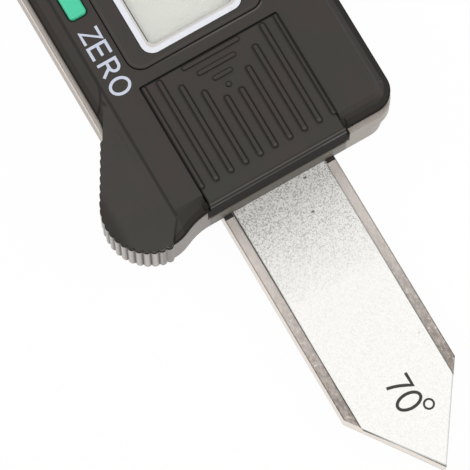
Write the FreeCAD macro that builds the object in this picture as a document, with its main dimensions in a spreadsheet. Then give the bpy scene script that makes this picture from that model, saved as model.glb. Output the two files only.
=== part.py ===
import FreeCAD, Part

# Digital weld gauge, in millimetres. The gauge lies on its back: X runs along the beam towards its
# 70 degree point, Y runs across the head, Z points out of the display. The origin is the middle of
# the back plate's outer face, which is also the middle of the head.
import math
import os
import types

import Sketcher

Vector = FreeCAD.Vector

# name, value, what it is
SIZES = (
    ("plate_thickness", 1.2, "back plate"),
    ("plate_half_width", 11.4, "back plate, from the centre line to its long edge"),
    ("plate_inset", 2.0, "back plate and rails, in from the ends of the head"),
    ("plate_corner", 2.0, "corner radius of the back plate"),
    ("slide_gap", 0.1, "running gap between the beam and the head, above and below"),
    ("side_gap", 0.05, "running gap between the beam and its guides, on each side"),
    ("beam_width", 16.0, "ground beam"),
    ("beam_thickness", 3.3, "ground beam"),
    ("tip_angle", 70.0, "point of the beam"),
    ("tip_reach", 41.0, "from the end of the head to the point of the beam"),
    ("arm_width", 16.0, "cross arms at the far end of the beam"),
    ("arm_gap", 2.0, "from the head to the cross arms, with the head moved all the way"),
    ("upper_shoulder", 20.0, "centre line to the shoulders of the upper arm"),
    ("upper_angle", 60.0, "point of the upper arm"),
    ("lower_shoulder", 20.0, "centre line to the shoulders of the lower arm"),
    ("lower_angle", 80.0, "point of the lower arm"),
    ("nose_length", 6.0, "straight part of the nose past the arms"),
    ("nose_angle", 90.0, "point of the nose, where the rod comes out"),
    ("arm_corner", 2.0, "inside corner radius between the arms and the beam"),
    ("strip_width", 13.3, "circuit strip and film on the face of the beam"),
    ("strip_gap", 0.05, "gap round the strip in its recess"),
    ("strip_recess", 0.5, "depth of the recess for the strip"),
    ("strip_thickness", 0.65, "circuit strip"),
    ("label_thickness", 0.15, "film on the strip"),
    ("rod_width", 3.0, "measuring rod"),
    ("rod_thickness", 1.7, "measuring rod"),
    ("rod_side_gap", 0.08, "gap between the rod and its groove, on each side"),
    ("rod_groove_depth", 1.8, "groove in the back of the beam"),
    ("rod_start", 16.0, "end of the head to the fixed end of the rod"),
    ("rod_rivet_inset", 4.0, "fixed end of the rod to its rivet"),
    ("rivet_radius", 0.9, "shank of the rod's rivet"),
    ("travel", 20.0, "travel of the head along the beam, from zero towards the arms"),
    ("head_length", 80.0, "metal frame of the head"),
    ("frame_left_low", 16.4, "centre line to the thumb side of the frame's lower layer"),
    ("frame_left", 16.2, "centre line to the thumb side of the frame's upper layer"),
    ("frame_right_low", 16.3, "centre line to the far side of the frame's lower layer"),
    ("frame_right", 17.2, "centre line to the far side of the frame's upper layer"),
    ("frame_corner", 3.0, "corner radius of the frame"),
    ("floor_thickness", 1.4, "floor of the frame"),
    ("lower_height", 3.6, "lower layer of the frame"),
    ("upper_height", 3.4, "upper layer of the frame"),
    ("tray_wall", 1.6, "walls of the frame"),
    ("tray_corner", 1.5, "corner radius inside the frame"),
    ("rail_width_left", 2.8, "guide rail on the thumb side"),
    ("rail_width_right", 2.45, "guide rail behind the gib strip"),
    ("gib_thickness", 0.7, "gib strip"),
    ("gib_inset", 5.0, "gib strip, in from the ends of the head"),
    ("gib_screw_radius", 0.9, "gib screws"),
    ("gib_screw_inset", 15.0, "ends of the head to the gib screws"),
    ("plate_screw_inset", 6.0, "ends of the head to the back plate screws"),
    ("plate_screw_radius", 0.8, "shank of a back plate screw"),
    ("plate_screw_head", 1.3, "head radius of a back plate screw"),
    ("plate_screw_length", 3.2, "back plate screw"),
    ("head_recess", 0.9, "height of the countersunk heads"),
    ("lock_half_width", 4.5, "half the width of the boss for the lock screw"),
    ("lock_drop", 4.2, "depth of that boss under the frame"),
    ("lock_radius", 1.25, "shank of the lock screw"),
    ("lock_fit", 0.05, "gap between the lock screw and its hole"),
    ("lock_head_radius", 2.7, "knurled head of the lock screw"),
    ("lock_head_width", 4.0, "knurled head of the lock screw, along its axis"),
    ("lock_head_gap", 0.5, "boss to the head of the lock screw"),
    ("lock_knurls", 20.0, "knurls round the lock screw"),
    ("lock_knurl_radius", 0.42, "one knurl of the lock screw"),
    ("thumb_back", 4.5, "end of the head to the centre of the thumb rest"),
    ("thumb_out", 15.95, "centre line to the centre of the thumb rest"),
    ("thumb_radius", 6.15, "thumb rest over its knurls"),
    ("thumb_flank", 30.7, "slope of the thumb rest's long flank"),
    ("thumb_straight", 7.4, "knurled length of that flank"),
    ("thumb_fillet", 8.0, "hollow from the thumb rest to the end of the head"),
    ("flank_fillet", 5.0, "hollow from the side of the head to that flank"),
    ("knurl_turn", 37.0, "knurls in a full turn of the thumb rest"),
    ("knurl_depth", 0.3, "knurls over the body of the thumb rest"),
    ("knurl_radius", 0.56, "one knurl"),
    ("cap_height", 2.2, "housing above the frame"),
    ("cap_wall", 1.5, "top wall of the housing"),
    ("cap_chamfer", 1.9, "bevel round the top of the housing"),
    ("cap_left", 15.95, "centre line to the thumb side of the housing"),
    ("cap_right", 17.6, "centre line to the far side of the housing"),
    ("cap_inset", 0.7, "housing in from the ends of the frame"),
    ("lip_depth", 1.0, "locating lip of the housing inside the frame"),
    ("lip_wall", 1.2, "locating lip"),
    ("fit_gap", 0.1, "gap between parts that fit in each other"),
    ("pad_crease", 13.9, "centre line to the crease where the thumb pad starts"),
    ("pad_fillet", 9.0, "bend of that crease towards the flank"),
    ("pad_end", 1.1, "end of the head to the end of that crease"),
    ("pad_start", 23.0, "end of the head to the start of the slope"),
    ("pad_slope", 9.2, "slope of the thumb pad"),
    ("post_radius", 1.3, "posts of the housing"),
    ("post_inset", 4.0, "ends of the head to the corner posts"),
    ("post_left", 13.0, "centre line to the corner posts on the thumb side"),
    ("post_right", 12.75, "centre line to the corner posts on the far side"),
    ("housing_screw_radius", 0.7, "shank of a housing screw"),
    ("housing_screw_head", 1.2, "head radius of a housing screw"),
    ("housing_screw_length", 4.2, "housing screw"),
    ("cover_length", 17.5, "battery cover"),
    ("cover_left", 9.7, "centre line to the thumb side of the cover"),
    ("cover_right", 9.6, "centre line to the far side of the cover"),
    ("cover_thickness", 1.6, "top of the battery cover"),
    ("cover_wall", 1.6, "end wall of the battery cover"),
    ("cover_foot", 0.4, "lower part of that wall past the sides of the cover"),
    ("cover_corner", 1.0, "lower corners of the cover's end wall"),
    ("cover_edge", 0.45, "rounded top edge of the cover's end"),
    ("tongue_width", 0.6, "side tongues of the cover"),
    ("tongue_thickness", 0.6, "side tongues of the cover"),
    ("rib_width", 0.68, "grip ribs"),
    ("rib_height", 0.3, "grip ribs"),
    ("rib_edge", 0.14, "bevelled edges of the grip ribs"),
    ("rib_pitch", 2.1, "grip ribs, side to side"),
    ("rib_end", 2.6, "end of the head to the ends of the ribs"),
    ("rib_start", 11.4, "end of the head to the start of the middle ribs"),
    ("rib_step", 1.95, "how much sooner each next rib starts"),
    ("bar_first", 17.0, "end of the head to the first cross bar"),
    ("bar_pitch", 1.5, "cross bars"),
    ("bar_length", 8.2, "longest cross bar"),
    ("bar_step", 2.7, "how much shorter each next bar is"),
    ("dot_radius", 0.37, "dot at the end of the bars"),
    ("box_length", 15.4, "battery box"),
    ("box_half_width", 9.2, "battery box"),
    ("box_floor", 0.4, "floor of the battery box"),
    ("battery_radius", 5.8, "button cell"),
    ("battery_height", 5.4, "button cell"),
    ("battery_gap", 0.15, "gap round the button cell"),
    ("battery_edge", 0.3, "bevelled edges of the button cell"),
    ("battery_back", 9.3, "end of the head to the axis of the cell"),
    ("contact_thickness", 0.2, "contact springs"),
    ("contact_width", 2.6, "contact springs"),
    ("minus_line", 3.1, "centre line to the contact under the cell, on the thumb side"),
    ("plus_line", 1.05, "centre line to the contact beside the cell, on the far side"),
    ("plus_height", 4.3, "foot of the cell to the top of the contact beside it"),
    ("bezel_near", 19.4, "end of the head to the display panel"),
    ("bezel_far", 15.6, "display panel, in from the other end of the head"),
    ("bezel_left", 9.5, "centre line to the thumb side of the panel"),
    ("bezel_right", 9.4, "centre line to the far side of the panel"),
    ("bezel_thickness", 1.0, "display panel"),
    ("bezel_corner", 2.0, "corner radius of the panel"),
    ("seam", 0.08, "gap round the panel and the window"),
    ("window_inset", 1.1, "window's rim in from the ends of the panel"),
    ("window_inset_left", 2.5, "window's rim in from the thumb side of the panel"),
    ("window_inset_right", 2.3, "window's rim in from the far side of the panel"),
    ("window_corner", 1.6, "corner radius of the window's rim"),
    ("rim_width", 1.0, "pale rim of the window"),
    ("rim_proud", 0.05, "rim above the panel"),
    ("lens_sink", 0.45, "window below the panel"),
    ("lens_ledge", 0.25, "ledge under the window"),
    ("glass_margin", 1.7, "display glass past the window"),
    ("glass_thickness", 1.8, "display glass"),
    ("button_width", 2.35, "button across the head"),
    ("button_corner", 0.5, "corner radius of a button"),
    ("button_length", 6.0, "button along the head"),
    ("button_line", 11.75, "centre line to the middle of the buttons"),
    ("button_near", 29.2, "end of the head to the first button"),
    ("button_far", 7.2, "far end of the head to the last button"),
    ("button_proud", 0.6, "button above the housing"),
    ("button_edge", 0.35, "rounded edge of a button"),
    ("button_travel", 0.4, "travel of a button"),
    ("flange_width", 0.3, "flange that holds a button in"),
    ("flange_thickness", 0.6, "flange that holds a button in"),
    ("stem_radius", 1.0, "stem under a button"),
    ("dome_radius", 1.6, "contact domes"),
    ("dome_height", 0.3, "contact domes"),
    ("board_lift", 0.3, "circuit board above the film"),
    ("board_thickness", 1.0, "circuit board"),
    ("board_near", 18.0, "end of the head to the board"),
    ("board_far", 6.0, "circuit board, in from the other end of the head"),
    ("board_left", 14.3, "centre line to the thumb side of the board"),
    ("board_right", 13.2, "centre line to the far side of the board"),
    ("reader_margin", 1.6, "window in the frame's floor, short of the board's ends"),
    ("reader_half_width", 6.9, "window in the frame's floor"),
    ("board_post_inset", 2.2, "board posts in from the near end of the board"),
    ("board_post_far", 9.4, "board posts in from the far end of the board"),
    ("board_post_left", 12.3, "centre line to the board posts on the thumb side"),
    ("board_post_right", 11.2, "centre line to the board posts on the far side"),
    ("board_screw_radius", 0.55, "shank of a board screw"),
    ("board_screw_head", 1.1, "head radius of a board screw"),
    ("board_screw_length", 2.6, "board screw"),
    ("zebra_width", 1.6, "rubber connector"),
    ("zebra_spread", 7.2, "middle of the display glass to each connector"),
    ("zebra_inset", 2.0, "rubber connector, in from the ends of the window"),
    ("chip_radius", 4.0, "moulded chip on the board"),
    ("chip_height", 1.3, "moulded chip on the board"),
    ("chip_edge", 0.8, "bevelled top of that chip"),
    ("capacitor_first", 6.4, "middle of the chip to the first capacitor"),
    ("capacitor_pitch", 3.6, "capacitor to capacitor along the board"),
    ("capacitor_length", 2.0, "capacitors"),
    ("capacitor_width", 1.2, "capacitors"),
    ("capacitor_height", 0.8, "capacitors"),
)

RIB_PAIRS = 5
BARS = 3
CAPACITORS = 3
TINY = 1e-3

doc = FreeCAD.newDocument("weld_gauge")
sheet = doc.addObject("Spreadsheet::Sheet", "Dims")
nodes = []


class Size:
    """A value together with the sheet expression that gives it."""

    def __init__(self, number, text):
        self.number = number
        self.text = text

    def join(self, other, sign, number):
        return Size(number, f"({self.text} {sign} {other.text})")

    def __add__(self, other):
        other = as_size(other)
        return self.join(other, "+", self.number + other.number)

    def __sub__(self, other):
        other = as_size(other)
        return self.join(other, "-", self.number - other.number)

    def __mul__(self, other):
        other = as_size(other)
        return self.join(other, "*", self.number * other.number)

    def __truediv__(self, other):
        other = as_size(other)
        return self.join(other, "/", self.number / other.number)

    def __neg__(self):
        return Size(-self.number, f"(0 - {self.text})")

    def __radd__(self, other):
        return as_size(other) + self

    def __rsub__(self, other):
        return as_size(other) - self

    def __rmul__(self, other):
        return as_size(other) * self


def as_size(value):
    return value if isinstance(value, Size) else Size(float(value), repr(float(value)))


def sine(angle):
    return Size(math.sin(math.radians(angle.number)), f"sin({angle.text})")


def cosine(angle):
    return Size(math.cos(math.radians(angle.number)), f"cos({angle.text})")


def tangent(angle):
    return Size(math.tan(math.radians(angle.number)), f"tan({angle.text})")


def root(size):
    return Size(math.sqrt(size.number), f"sqrt({size.text})")


def fill_sheet():
    """Write the driving sizes to the sheet and hand them out by name."""
    sizes = types.SimpleNamespace()
    for row, (name, number, note) in enumerate(SIZES, 1):
        sheet.set(f"A{row}", name)
        sheet.set(f"B{row}", str(number))
        sheet.setAlias(f"B{row}", name)
        sheet.set(f"C{row}", note)
        setattr(sizes, name, Size(number, f"Dims.{name}"))
    doc.recompute()
    return sizes


d = fill_sheet()

# Levels from the back plate up to the top of the housing
z_plate = d.plate_thickness
z_beam = z_plate + d.slide_gap
z_beam_top = z_beam + d.beam_thickness
z_strip = z_beam_top - d.strip_recess
z_label = z_strip + d.strip_thickness
z_face = z_label + d.label_thickness
z_frame = z_beam_top + d.slide_gap
z_floor = z_frame + d.floor_thickness
z_step = z_frame + d.lower_height
z_rim = z_step + d.upper_height
z_top = z_rim + d.cap_height
z_ceiling = z_top - d.cap_wall
z_board = z_face + d.board_lift
z_board_top = z_board + d.board_thickness
z_cover = z_top - d.cover_thickness
z_glass = z_ceiling - d.glass_thickness

# Places along and across the head
head_end = d.head_length / 2
beam_half = d.beam_width / 2
beam_tip = head_end + d.tip_reach
arm_right = -head_end - d.travel - d.arm_gap
arm_left = arm_right - d.arm_width
arm_middle = arm_right - d.arm_width / 2
nose_shoulder = arm_left - d.nose_length
nose_tip = nose_shoulder - beam_half / tangent(d.nose_angle / 2)
strip_start = arm_right + d.arm_corner
guide = beam_half + d.side_gap
gib_outer = guide + d.gib_thickness
rail_inner = gib_outer + d.side_gap
rail_outer = rail_inner + d.rail_width_right
plate_end = head_end - d.plate_inset
tray_end = head_end - d.tray_wall
tray_left = -d.frame_left + d.tray_wall
tray_right = d.frame_right_low - d.tray_wall
lock_level = z_beam + d.beam_thickness / 2
board_right_end = head_end - d.board_near
board_left_end = -head_end + d.board_far
bezel_end = head_end - d.bezel_near
bezel_back = -head_end + d.bezel_far
window_end = bezel_end - d.window_inset
window_back = bezel_back + d.window_inset
window_left = -d.bezel_left + d.window_inset_left
window_right = d.bezel_right - d.window_inset_right
plate_screw_x = head_end - d.plate_screw_inset
gib_screw_x = head_end - d.gib_screw_inset
post_x = head_end - d.post_inset
battery_x = head_end - d.battery_back
box_back = tray_end - d.fit_gap - d.box_length
z_box = z_floor + d.box_floor
z_battery = z_box + d.contact_thickness
plus_top = z_battery + d.plus_height
cover_back = head_end - d.cover_length
thumb_x = head_end - d.thumb_back
thumb_y = -d.thumb_out
thumb_body = d.thumb_radius - d.knurl_depth
turn_x = thumb_x - thumb_body * sine(d.thumb_flank)
turn_y = thumb_y - thumb_body * cosine(d.thumb_flank)
button_names = ("zero_button", "power_button", "unit_button")
button_first = head_end - d.button_near - d.button_length / 2
button_last = -head_end + d.button_far + d.button_length / 2
button_pitch = (button_first - button_last) / (len(button_names) - 1)
button_middles = [button_first - button_pitch * index for index in range(len(button_names))]
board_posts = [(x, y)
               for x in (board_right_end - d.board_post_inset, board_left_end + d.board_post_far)
               for y in (-d.board_post_left, d.board_post_right)]
corner_posts = [(x, y) for x in (post_x, -post_x) for y in (-d.post_left, d.post_right)]


def bind(item, name, size):
    """Set a property to a size, by its expression where the sheet gives it."""
    if isinstance(size, Size) and "Dims" in size.text:
        item.setExpression(name, size.text)
    else:
        item.setExpression(name, as_size(size).text)


def keep(item, label):
    """Count a finished piece as a node of its own."""
    item.Label = label
    nodes.append(item)
    return item


def new_body(label):
    return keep(doc.addObject("PartDesign::Body", label + "_body"), label)


def new_sketch(body, name, plane="XY_Plane", lift=0.0):
    """A sketch on one of the body's origin planes, lifted along the plane's normal."""
    sketch = body.newObject("Sketcher::SketchObject", name)
    support = next(item for item in body.Origin.OriginFeatures if item.Role == plane)
    sketch.AttachmentSupport = [(support, "")]
    sketch.MapMode = "FlatFace"
    bind(sketch, "AttachmentOffset.Base.z", lift)
    return sketch


def arc_between(start, end, radius, side):
    """The arc from start to end whose centre lies on the given side of the way along it."""
    x0, y0 = start
    x1, y1 = end
    chord = math.hypot(x1 - x0, y1 - y0)
    rise = math.sqrt(max(radius * radius - chord * chord / 4, 0.0))
    way = -1 if side == "right" else 1
    centre_x = (x0 + x1) / 2 - way * rise * (y1 - y0) / chord
    centre_y = (y0 + y1) / 2 + way * rise * (x1 - x0) / chord
    first = math.atan2(y0 - centre_y, x0 - centre_x)
    last = math.atan2(y1 - centre_y, x1 - centre_x)
    if side == "right":
        first, last = last, first
    if last <= first:
        last += 2 * math.pi
    circle = Part.Circle(Vector(centre_x, centre_y, 0), Vector(0, 0, 1), radius)
    return Part.ArcOfCircle(circle, first, last)


def outline(sketch, corners):
    """Draw one closed outline. A corner is (x, y), reached by a line, or (x, y, radius, side),
    reached by an arc whose centre is on that side, or by a half circle where the side is half."""
    corners = [tuple(as_size(value) if index < 3 else value for index, value in enumerate(corner))
               for corner in corners]
    first = sketch.GeometryCount
    shapes = []
    ends = []
    for index, corner in enumerate(corners):
        before = corners[index - 1]
        start = (before[0].number, before[1].number)
        end = (corner[0].number, corner[1].number)
        if len(corner) == 4:
            shapes.append(arc_between(start, end, corner[2].number, corner[3]))
            ends.append((2, 1) if corner[3] == "right" else (1, 2))
        else:
            shapes.append(Part.LineSegment(Vector(*start, 0), Vector(*end, 0)))
            ends.append((1, 2))
    sketch.addGeometry(shapes, False)
    rules = []
    names = []
    for index, corner in enumerate(corners):
        after = (index + 1) % len(corners)
        here = first + index
        rules.append(Sketcher.Constraint("Coincident", here, ends[index][1], first + after, ends[after][0]))
        for kind, size in (("DistanceX", corner[0]), ("DistanceY", corner[1])):
            rule = Sketcher.Constraint(kind, -1, 1, here, ends[index][1], size.number)
            rule.Name = f"{kind}_{here}"
            rules.append(rule)
            names.append((rule.Name, size))
        if len(corner) == 4 and corner[3] == "half":
            upright = abs(corner[0].number - corners[index - 1][0].number) < corner[2].number
            kind, size = ("DistanceX", corner[0]) if upright else ("DistanceY", corner[1])
            rule = Sketcher.Constraint(kind, -1, 1, here, 3, size.number)
            rule.Name = f"Middle_{here}"
            rules.append(rule)
            names.append((rule.Name, size))
        elif len(corner) == 4:
            rule = Sketcher.Constraint("Radius", here, corner[2].number)
            rule.Name = f"Radius_{here}"
            rules.append(rule)
            names.append((rule.Name, corner[2]))
    sketch.addConstraint(rules)
    for name, size in names:
        if "Dims" in size.text:
            sketch.setExpression("Constraints." + name, size.text)


def circle(sketch, x, y, radius):
    """Draw one circle."""
    x, y, radius = as_size(x), as_size(y), as_size(radius)
    here = sketch.GeometryCount
    sketch.addGeometry(Part.Circle(Vector(x.number, y.number, 0), Vector(0, 0, 1), radius.number), False)
    for kind, size in (("DistanceX", x), ("DistanceY", y)):
        rule = Sketcher.Constraint(kind, -1, 1, here, 3, size.number)
        rule.Name = f"{kind}_{here}"
        sketch.addConstraint(rule)
        if "Dims" in size.text:
            sketch.setExpression("Constraints." + rule.Name, size.text)
    rule = Sketcher.Constraint("Radius", here, radius.number)
    rule.Name = f"Radius_{here}"
    sketch.addConstraint(rule)
    sketch.setExpression("Constraints." + rule.Name, radius.text)


def box_corners(x0, y0, x1, y1):
    return [(x0, y0), (x1, y0), (x1, y1), (x0, y1)]


def round_corners(x0, y0, x1, y1, r):
    """A rectangle whose corners are rounded."""
    return [(x1 - r, y0), (x1, y0 + r, r, "left"), (x1, y1 - r), (x1 - r, y1, r, "left"),
            (x0 + r, y1), (x0, y1 - r, r, "left"), (x0, y0 + r), (x0 + r, y0, r, "left")]


def stadium(x0, x1, y, half):
    """A bar along X with round ends."""
    return [(x1 - half, y - half), (x1 - half, y + half, half, "half"),
            (x0 + half, y + half), (x0 + half, y - half, half, "half")]


def stadium_across(x, y0, y1, half):
    """A bar along Y with round ends."""
    return [(x + half, y1 - half), (x - half, y1 - half, half, "half"),
            (x - half, y0 + half), (x + half, y0 + half, half, "half")]


def pad(body, sketch, height, down=False):
    feature = body.newObject("PartDesign::Pad", sketch.Name + "_pad")
    feature.Profile = sketch
    feature.Reversed = down
    bind(feature, "Length", height)
    return feature


def pocket(body, sketch, depth):
    """Cut away from the sketch along its normal."""
    feature = body.newObject("PartDesign::Pocket", sketch.Name + "_pocket")
    feature.Profile = sketch
    feature.Reversed = True
    bind(feature, "Length", depth)
    return feature


def slab(body, name, corners, low, high, plane="XY_Plane"):
    """Add the outline between two levels."""
    sketch = new_sketch(body, name, plane, low)
    outline(sketch, corners)
    return pad(body, sketch, high - low)


def hollow(body, name, corners, low, high, plane="XY_Plane"):
    """Cut the outline out between two levels."""
    sketch = new_sketch(body, name, plane, low)
    outline(sketch, corners)
    return pocket(body, sketch, high - low)


def drill(body, name, places, radius, low, high, plane="XY_Plane"):
    """Cut round holes between two levels."""
    sketch = new_sketch(body, name, plane, low)
    for x, y in places:
        circle(sketch, x, y, radius)
    return pocket(body, sketch, high - low)


def pegs(body, name, places, radius, low, high, plane="XY_Plane"):
    """Add round pegs between two levels."""
    sketch = new_sketch(body, name, plane, low)
    for x, y in places:
        circle(sketch, x, y, radius)
    return pad(body, sketch, high - low)


def dress(body, kind, base, size, chosen):
    """Chamfer or fillet the edges of a feature that the test chooses."""
    doc.recompute()
    names = [f"Edge{number}" for number, edge in enumerate(base.Shape.Edges, 1) if chosen(edge)]
    feature = body.newObject("PartDesign::" + kind, body.Name + "_" + kind.lower())
    feature.Base = (base, names)
    bind(feature, "Size" if kind == "Chamfer" else "Radius", size)
    return feature


def lies_at(edge, level):
    """True for an edge that lies flat at a level."""
    box = edge.BoundBox
    return abs(box.ZMin - level.number) < TINY and abs(box.ZMax - level.number) < TINY


def cylinder(name, radius, height, x, y, z, across=False):
    """A round bar standing on Z, or lying along -Y from its start."""
    item = doc.addObject("Part::Cylinder", name)
    bind(item, "Radius", radius)
    bind(item, "Height", height)
    if across:
        item.Placement = FreeCAD.Placement(Vector(), FreeCAD.Rotation(Vector(1, 0, 0), 90))
    for axis, size in zip("xyz", (x, y, z)):
        bind(item, "Placement.Base." + axis, size)
    return item


def cone(name, low_radius, high_radius, height, x, y, z):
    item = doc.addObject("Part::Cone", name)
    bind(item, "Radius1", low_radius)
    bind(item, "Radius2", high_radius)
    bind(item, "Height", height)
    for axis, size in zip("xyz", (x, y, z)):
        bind(item, "Placement.Base." + axis, size)
    return item


def block(name, length, width, height, x, y, z):
    """A box given by its sizes and its lowest corner."""
    item = doc.addObject("Part::Box", name)
    for key, size in (("Length", length), ("Width", width), ("Height", height)):
        bind(item, key, size)
    for axis, size in zip("xyz", (x, y, z)):
        bind(item, "Placement.Base." + axis, size)
    return item


def fuse(name, *items):
    item = doc.addObject("Part::MultiFuse", name)
    item.Shapes = list(items)
    return item


def cut(name, base, tool):
    item = doc.addObject("Part::Cut", name)
    item.Base = base
    item.Tool = tool
    return item


def group(label, items):
    """Like pieces that share one node."""
    item = doc.addObject("Part::Compound", label + "_group")
    item.Links = items
    return keep(item, label)


def beam_point(width_half, reach):
    """The 70 degree point, from its upper shoulder round to its lower one."""
    shoulder = reach - width_half / tangent(d.tip_angle / 2)
    return [(shoulder, -width_half), (reach, 0), (shoulder, width_half)]


def make_beam():
    """The ground beam with its four points, one piece."""
    body = new_body("gauge_beam")
    corner = d.arm_corner
    upper_tip = d.upper_shoulder + d.arm_width / 2 / tangent(d.upper_angle / 2)
    lower_tip = d.lower_shoulder + d.arm_width / 2 / tangent(d.lower_angle / 2)
    corners = beam_point(beam_half, beam_tip) + [
        (arm_right + corner, beam_half),
        (arm_right, beam_half + corner, corner, "right"),
        (arm_right, d.upper_shoulder),
        (arm_middle, upper_tip),
        (arm_left, d.upper_shoulder),
        (arm_left, beam_half + corner),
        (arm_left - corner, beam_half, corner, "right"),
        (nose_shoulder, beam_half),
        (nose_tip, 0),
        (nose_shoulder, -beam_half),
        (arm_left - corner, -beam_half),
        (arm_left, -beam_half - corner, corner, "right"),
        (arm_left, -d.lower_shoulder),
        (arm_middle, -lower_tip),
        (arm_right, -d.lower_shoulder),
        (arm_right, -beam_half - corner),
        (arm_right + corner, -beam_half, corner, "right"),
    ]
    slab(body, "beam_outline", corners, z_beam, z_beam_top)
    recess = d.strip_width / 2 + d.strip_gap
    hollow(body, "strip_recess", box_corners(strip_start, -recess, beam_tip + d.strip_gap, recess),
           z_strip, z_beam_top + d.slide_gap)
    groove = d.rod_width / 2 + d.rod_side_gap
    groove_end = head_end - d.rod_start + d.rod_side_gap
    hollow(body, "rod_groove", box_corners(nose_tip - d.rod_side_gap, -groove, groove_end, groove),
           z_beam - d.slide_gap, z_beam + d.rod_groove_depth)


def make_strip():
    """The circuit strip in the beam's recess, and the film on it."""
    start = strip_start + d.strip_gap
    corners = beam_point(d.strip_width / 2, beam_tip - d.strip_gap) + [
        (start, d.strip_width / 2), (start, -d.strip_width / 2)]
    slab(new_body("scale_strip"), "strip_outline", corners, z_strip, z_label)
    slab(new_body("scale_label"), "label_outline", corners, z_label, z_face)


def flank_start(side, radius, inset=0.0):
    """The hollow bend from a straight side into the thumb rest's flank."""
    slope = d.thumb_flank
    corner = turn_x - (side - turn_y) / tangent(slope) + as_size(inset) / sine(slope)
    reach = radius * tangent(slope / 2)
    return [(corner - reach, side),
            (corner + reach * cosine(slope), side - reach * sine(slope), radius, "right")]


def hollow_end(end):
    """The end of the thumb rest and the hollow between it and the end of the head."""
    reach = thumb_body + d.thumb_fillet
    across = end + d.thumb_fillet - thumb_x
    centre_y = thumb_y + root(reach * reach - across * across)
    share = thumb_body / reach
    touch_x = thumb_x + across * share
    touch_y = thumb_y + (centre_y - thumb_y) * share
    return [(touch_x, touch_y, thumb_body, "left"), (end, centre_y, d.thumb_fillet, "right")]


def add_knurls(body, low, high):
    """Round knurls down the flank and round the end of the thumb rest."""
    sketch = new_sketch(body, body.Name + "_knurl", lift=low)
    bind(sketch, "AttachmentOffset.Base.x", thumb_x)
    bind(sketch, "AttachmentOffset.Base.y", thumb_y)
    bind(sketch, "AttachmentOffset.Rotation.Angle", -d.thumb_flank)
    circle(sketch, 0, d.knurl_radius - d.thumb_radius, d.knurl_radius)
    knurl = pad(body, sketch, high - low)
    turn = 360 / d.knurl_turn.number
    round_turn = 90 + d.thumb_flank.number
    ring = body.newObject("PartDesign::PolarPattern", body.Name + "_knurl_ring")
    ring.Originals = [knurl]
    ring.Axis = (sketch, ["N_Axis"])
    ring.Mode = "Spacing"
    ring.setExpression("Offset", f"360 / {d.knurl_turn.text}")
    ring.Occurrences = int(round_turn / turn) + 1
    body.Tip = ring
    doc.recompute()
    pitch = d.thumb_radius * 2 * math.pi / d.knurl_turn
    row = body.newObject("PartDesign::LinearPattern", body.Name + "_knurl_row")
    row.Originals = [knurl]
    row.Direction = (sketch, ["H_Axis"])
    row.Reversed = True
    row.Mode = "Spacing"
    bind(row, "Offset", pitch)
    row.Occurrences = int(d.thumb_straight.number / pitch.number) + 1
    body.Tip = row
    return row


def frame_corners(left, right):
    """The frame's outline for one layer: thumb rest, far side and the other end."""
    r = d.frame_corner
    return flank_start(left, d.flank_fillet) + [(turn_x, turn_y)] + hollow_end(head_end) + [
        (head_end, right - r),
        (head_end - r, right, r, "left"),
        (-head_end + r, right),
        (-head_end, right - r, r, "left"),
        (-head_end, left + r),
        (-head_end + r, left, r, "left"),
    ]


def make_frame():
    """The metal frame: a tray over the beam, two guide rails, and half of the thumb rest."""
    body = new_body("slider_frame")
    slab(body, "frame_lower", frame_corners(-d.frame_left_low, d.frame_right_low), z_frame, z_step)
    slab(body, "frame_upper", frame_corners(-d.frame_left, d.frame_right), z_step, z_rim)
    add_knurls(body, z_frame, z_rim)
    slab(body, "left_rail", box_corners(-plate_end, -guide - d.rail_width_left, plate_end, -guide),
         z_plate, z_frame)
    slab(body, "right_rail", box_corners(-plate_end, rail_inner, plate_end, rail_outer),
         z_plate, z_frame)
    boss_low = z_frame - d.lock_drop
    slab(body, "lock_boss",
         box_corners(-d.lock_half_width, d.plate_half_width + d.fit_gap, d.lock_half_width,
                     d.frame_right_low),
         boss_low, z_frame)
    slab(body, "lock_web",
         box_corners(-d.lock_half_width, rail_inner, d.lock_half_width, d.frame_right_low),
         z_plate + d.slide_gap, z_frame)
    hollow(body, "tray",
           round_corners(-tray_end, tray_left, tray_end, tray_right, d.tray_corner), z_floor, z_rim)
    gap = d.fit_gap
    hollow(body, "board_seat",
           box_corners(board_left_end - gap, -d.board_left - gap, board_right_end + gap,
                       d.board_right + gap),
           z_board, z_floor)
    margin = d.reader_margin
    hollow(body, "reader_window",
           box_corners(board_left_end + margin, -d.reader_half_width, board_right_end - margin,
                       d.reader_half_width),
           z_frame, z_board)
    side = d.strip_width / 2 + d.slide_gap
    hollow(body, "strip_channel",
           box_corners(-head_end - d.tray_wall, -side, head_end + d.tray_wall, side),
           z_frame, z_face + d.slide_gap)
    hollow(body, "cover_notch",
           box_corners(tray_end - d.tray_wall, -d.cover_left - d.cover_foot - gap,
                       head_end + d.tray_wall, d.cover_right + d.cover_foot + gap),
           z_step, z_rim)
    drill(body, "post_holes", corner_posts, d.housing_screw_radius, z_frame, z_floor)
    head_room = d.housing_screw_head + gap
    drill(body, "post_recesses", corner_posts, head_room, z_frame, z_frame + d.head_recess)
    drill(body, "board_recesses", board_posts, d.board_screw_head + gap, z_frame, z_board)
    plate_holes = [(x, y) for x in (plate_screw_x, -plate_screw_x)
                   for y in plate_screw_lines()]
    drill(body, "plate_screw_holes", plate_holes, d.plate_screw_radius, z_plate,
          d.plate_screw_length)
    gib_holes = [(x, lock_level) for x in (gib_screw_x, -gib_screw_x)]
    drill(body, "gib_screw_holes", gib_holes, d.gib_screw_radius, -rail_outer, -rail_inner,
          plane="XZ_Plane")
    drill(body, "lock_hole", [(0, lock_level)], d.lock_radius + d.lock_fit, -d.frame_right_low,
          -rail_inner, plane="XZ_Plane")


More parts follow.
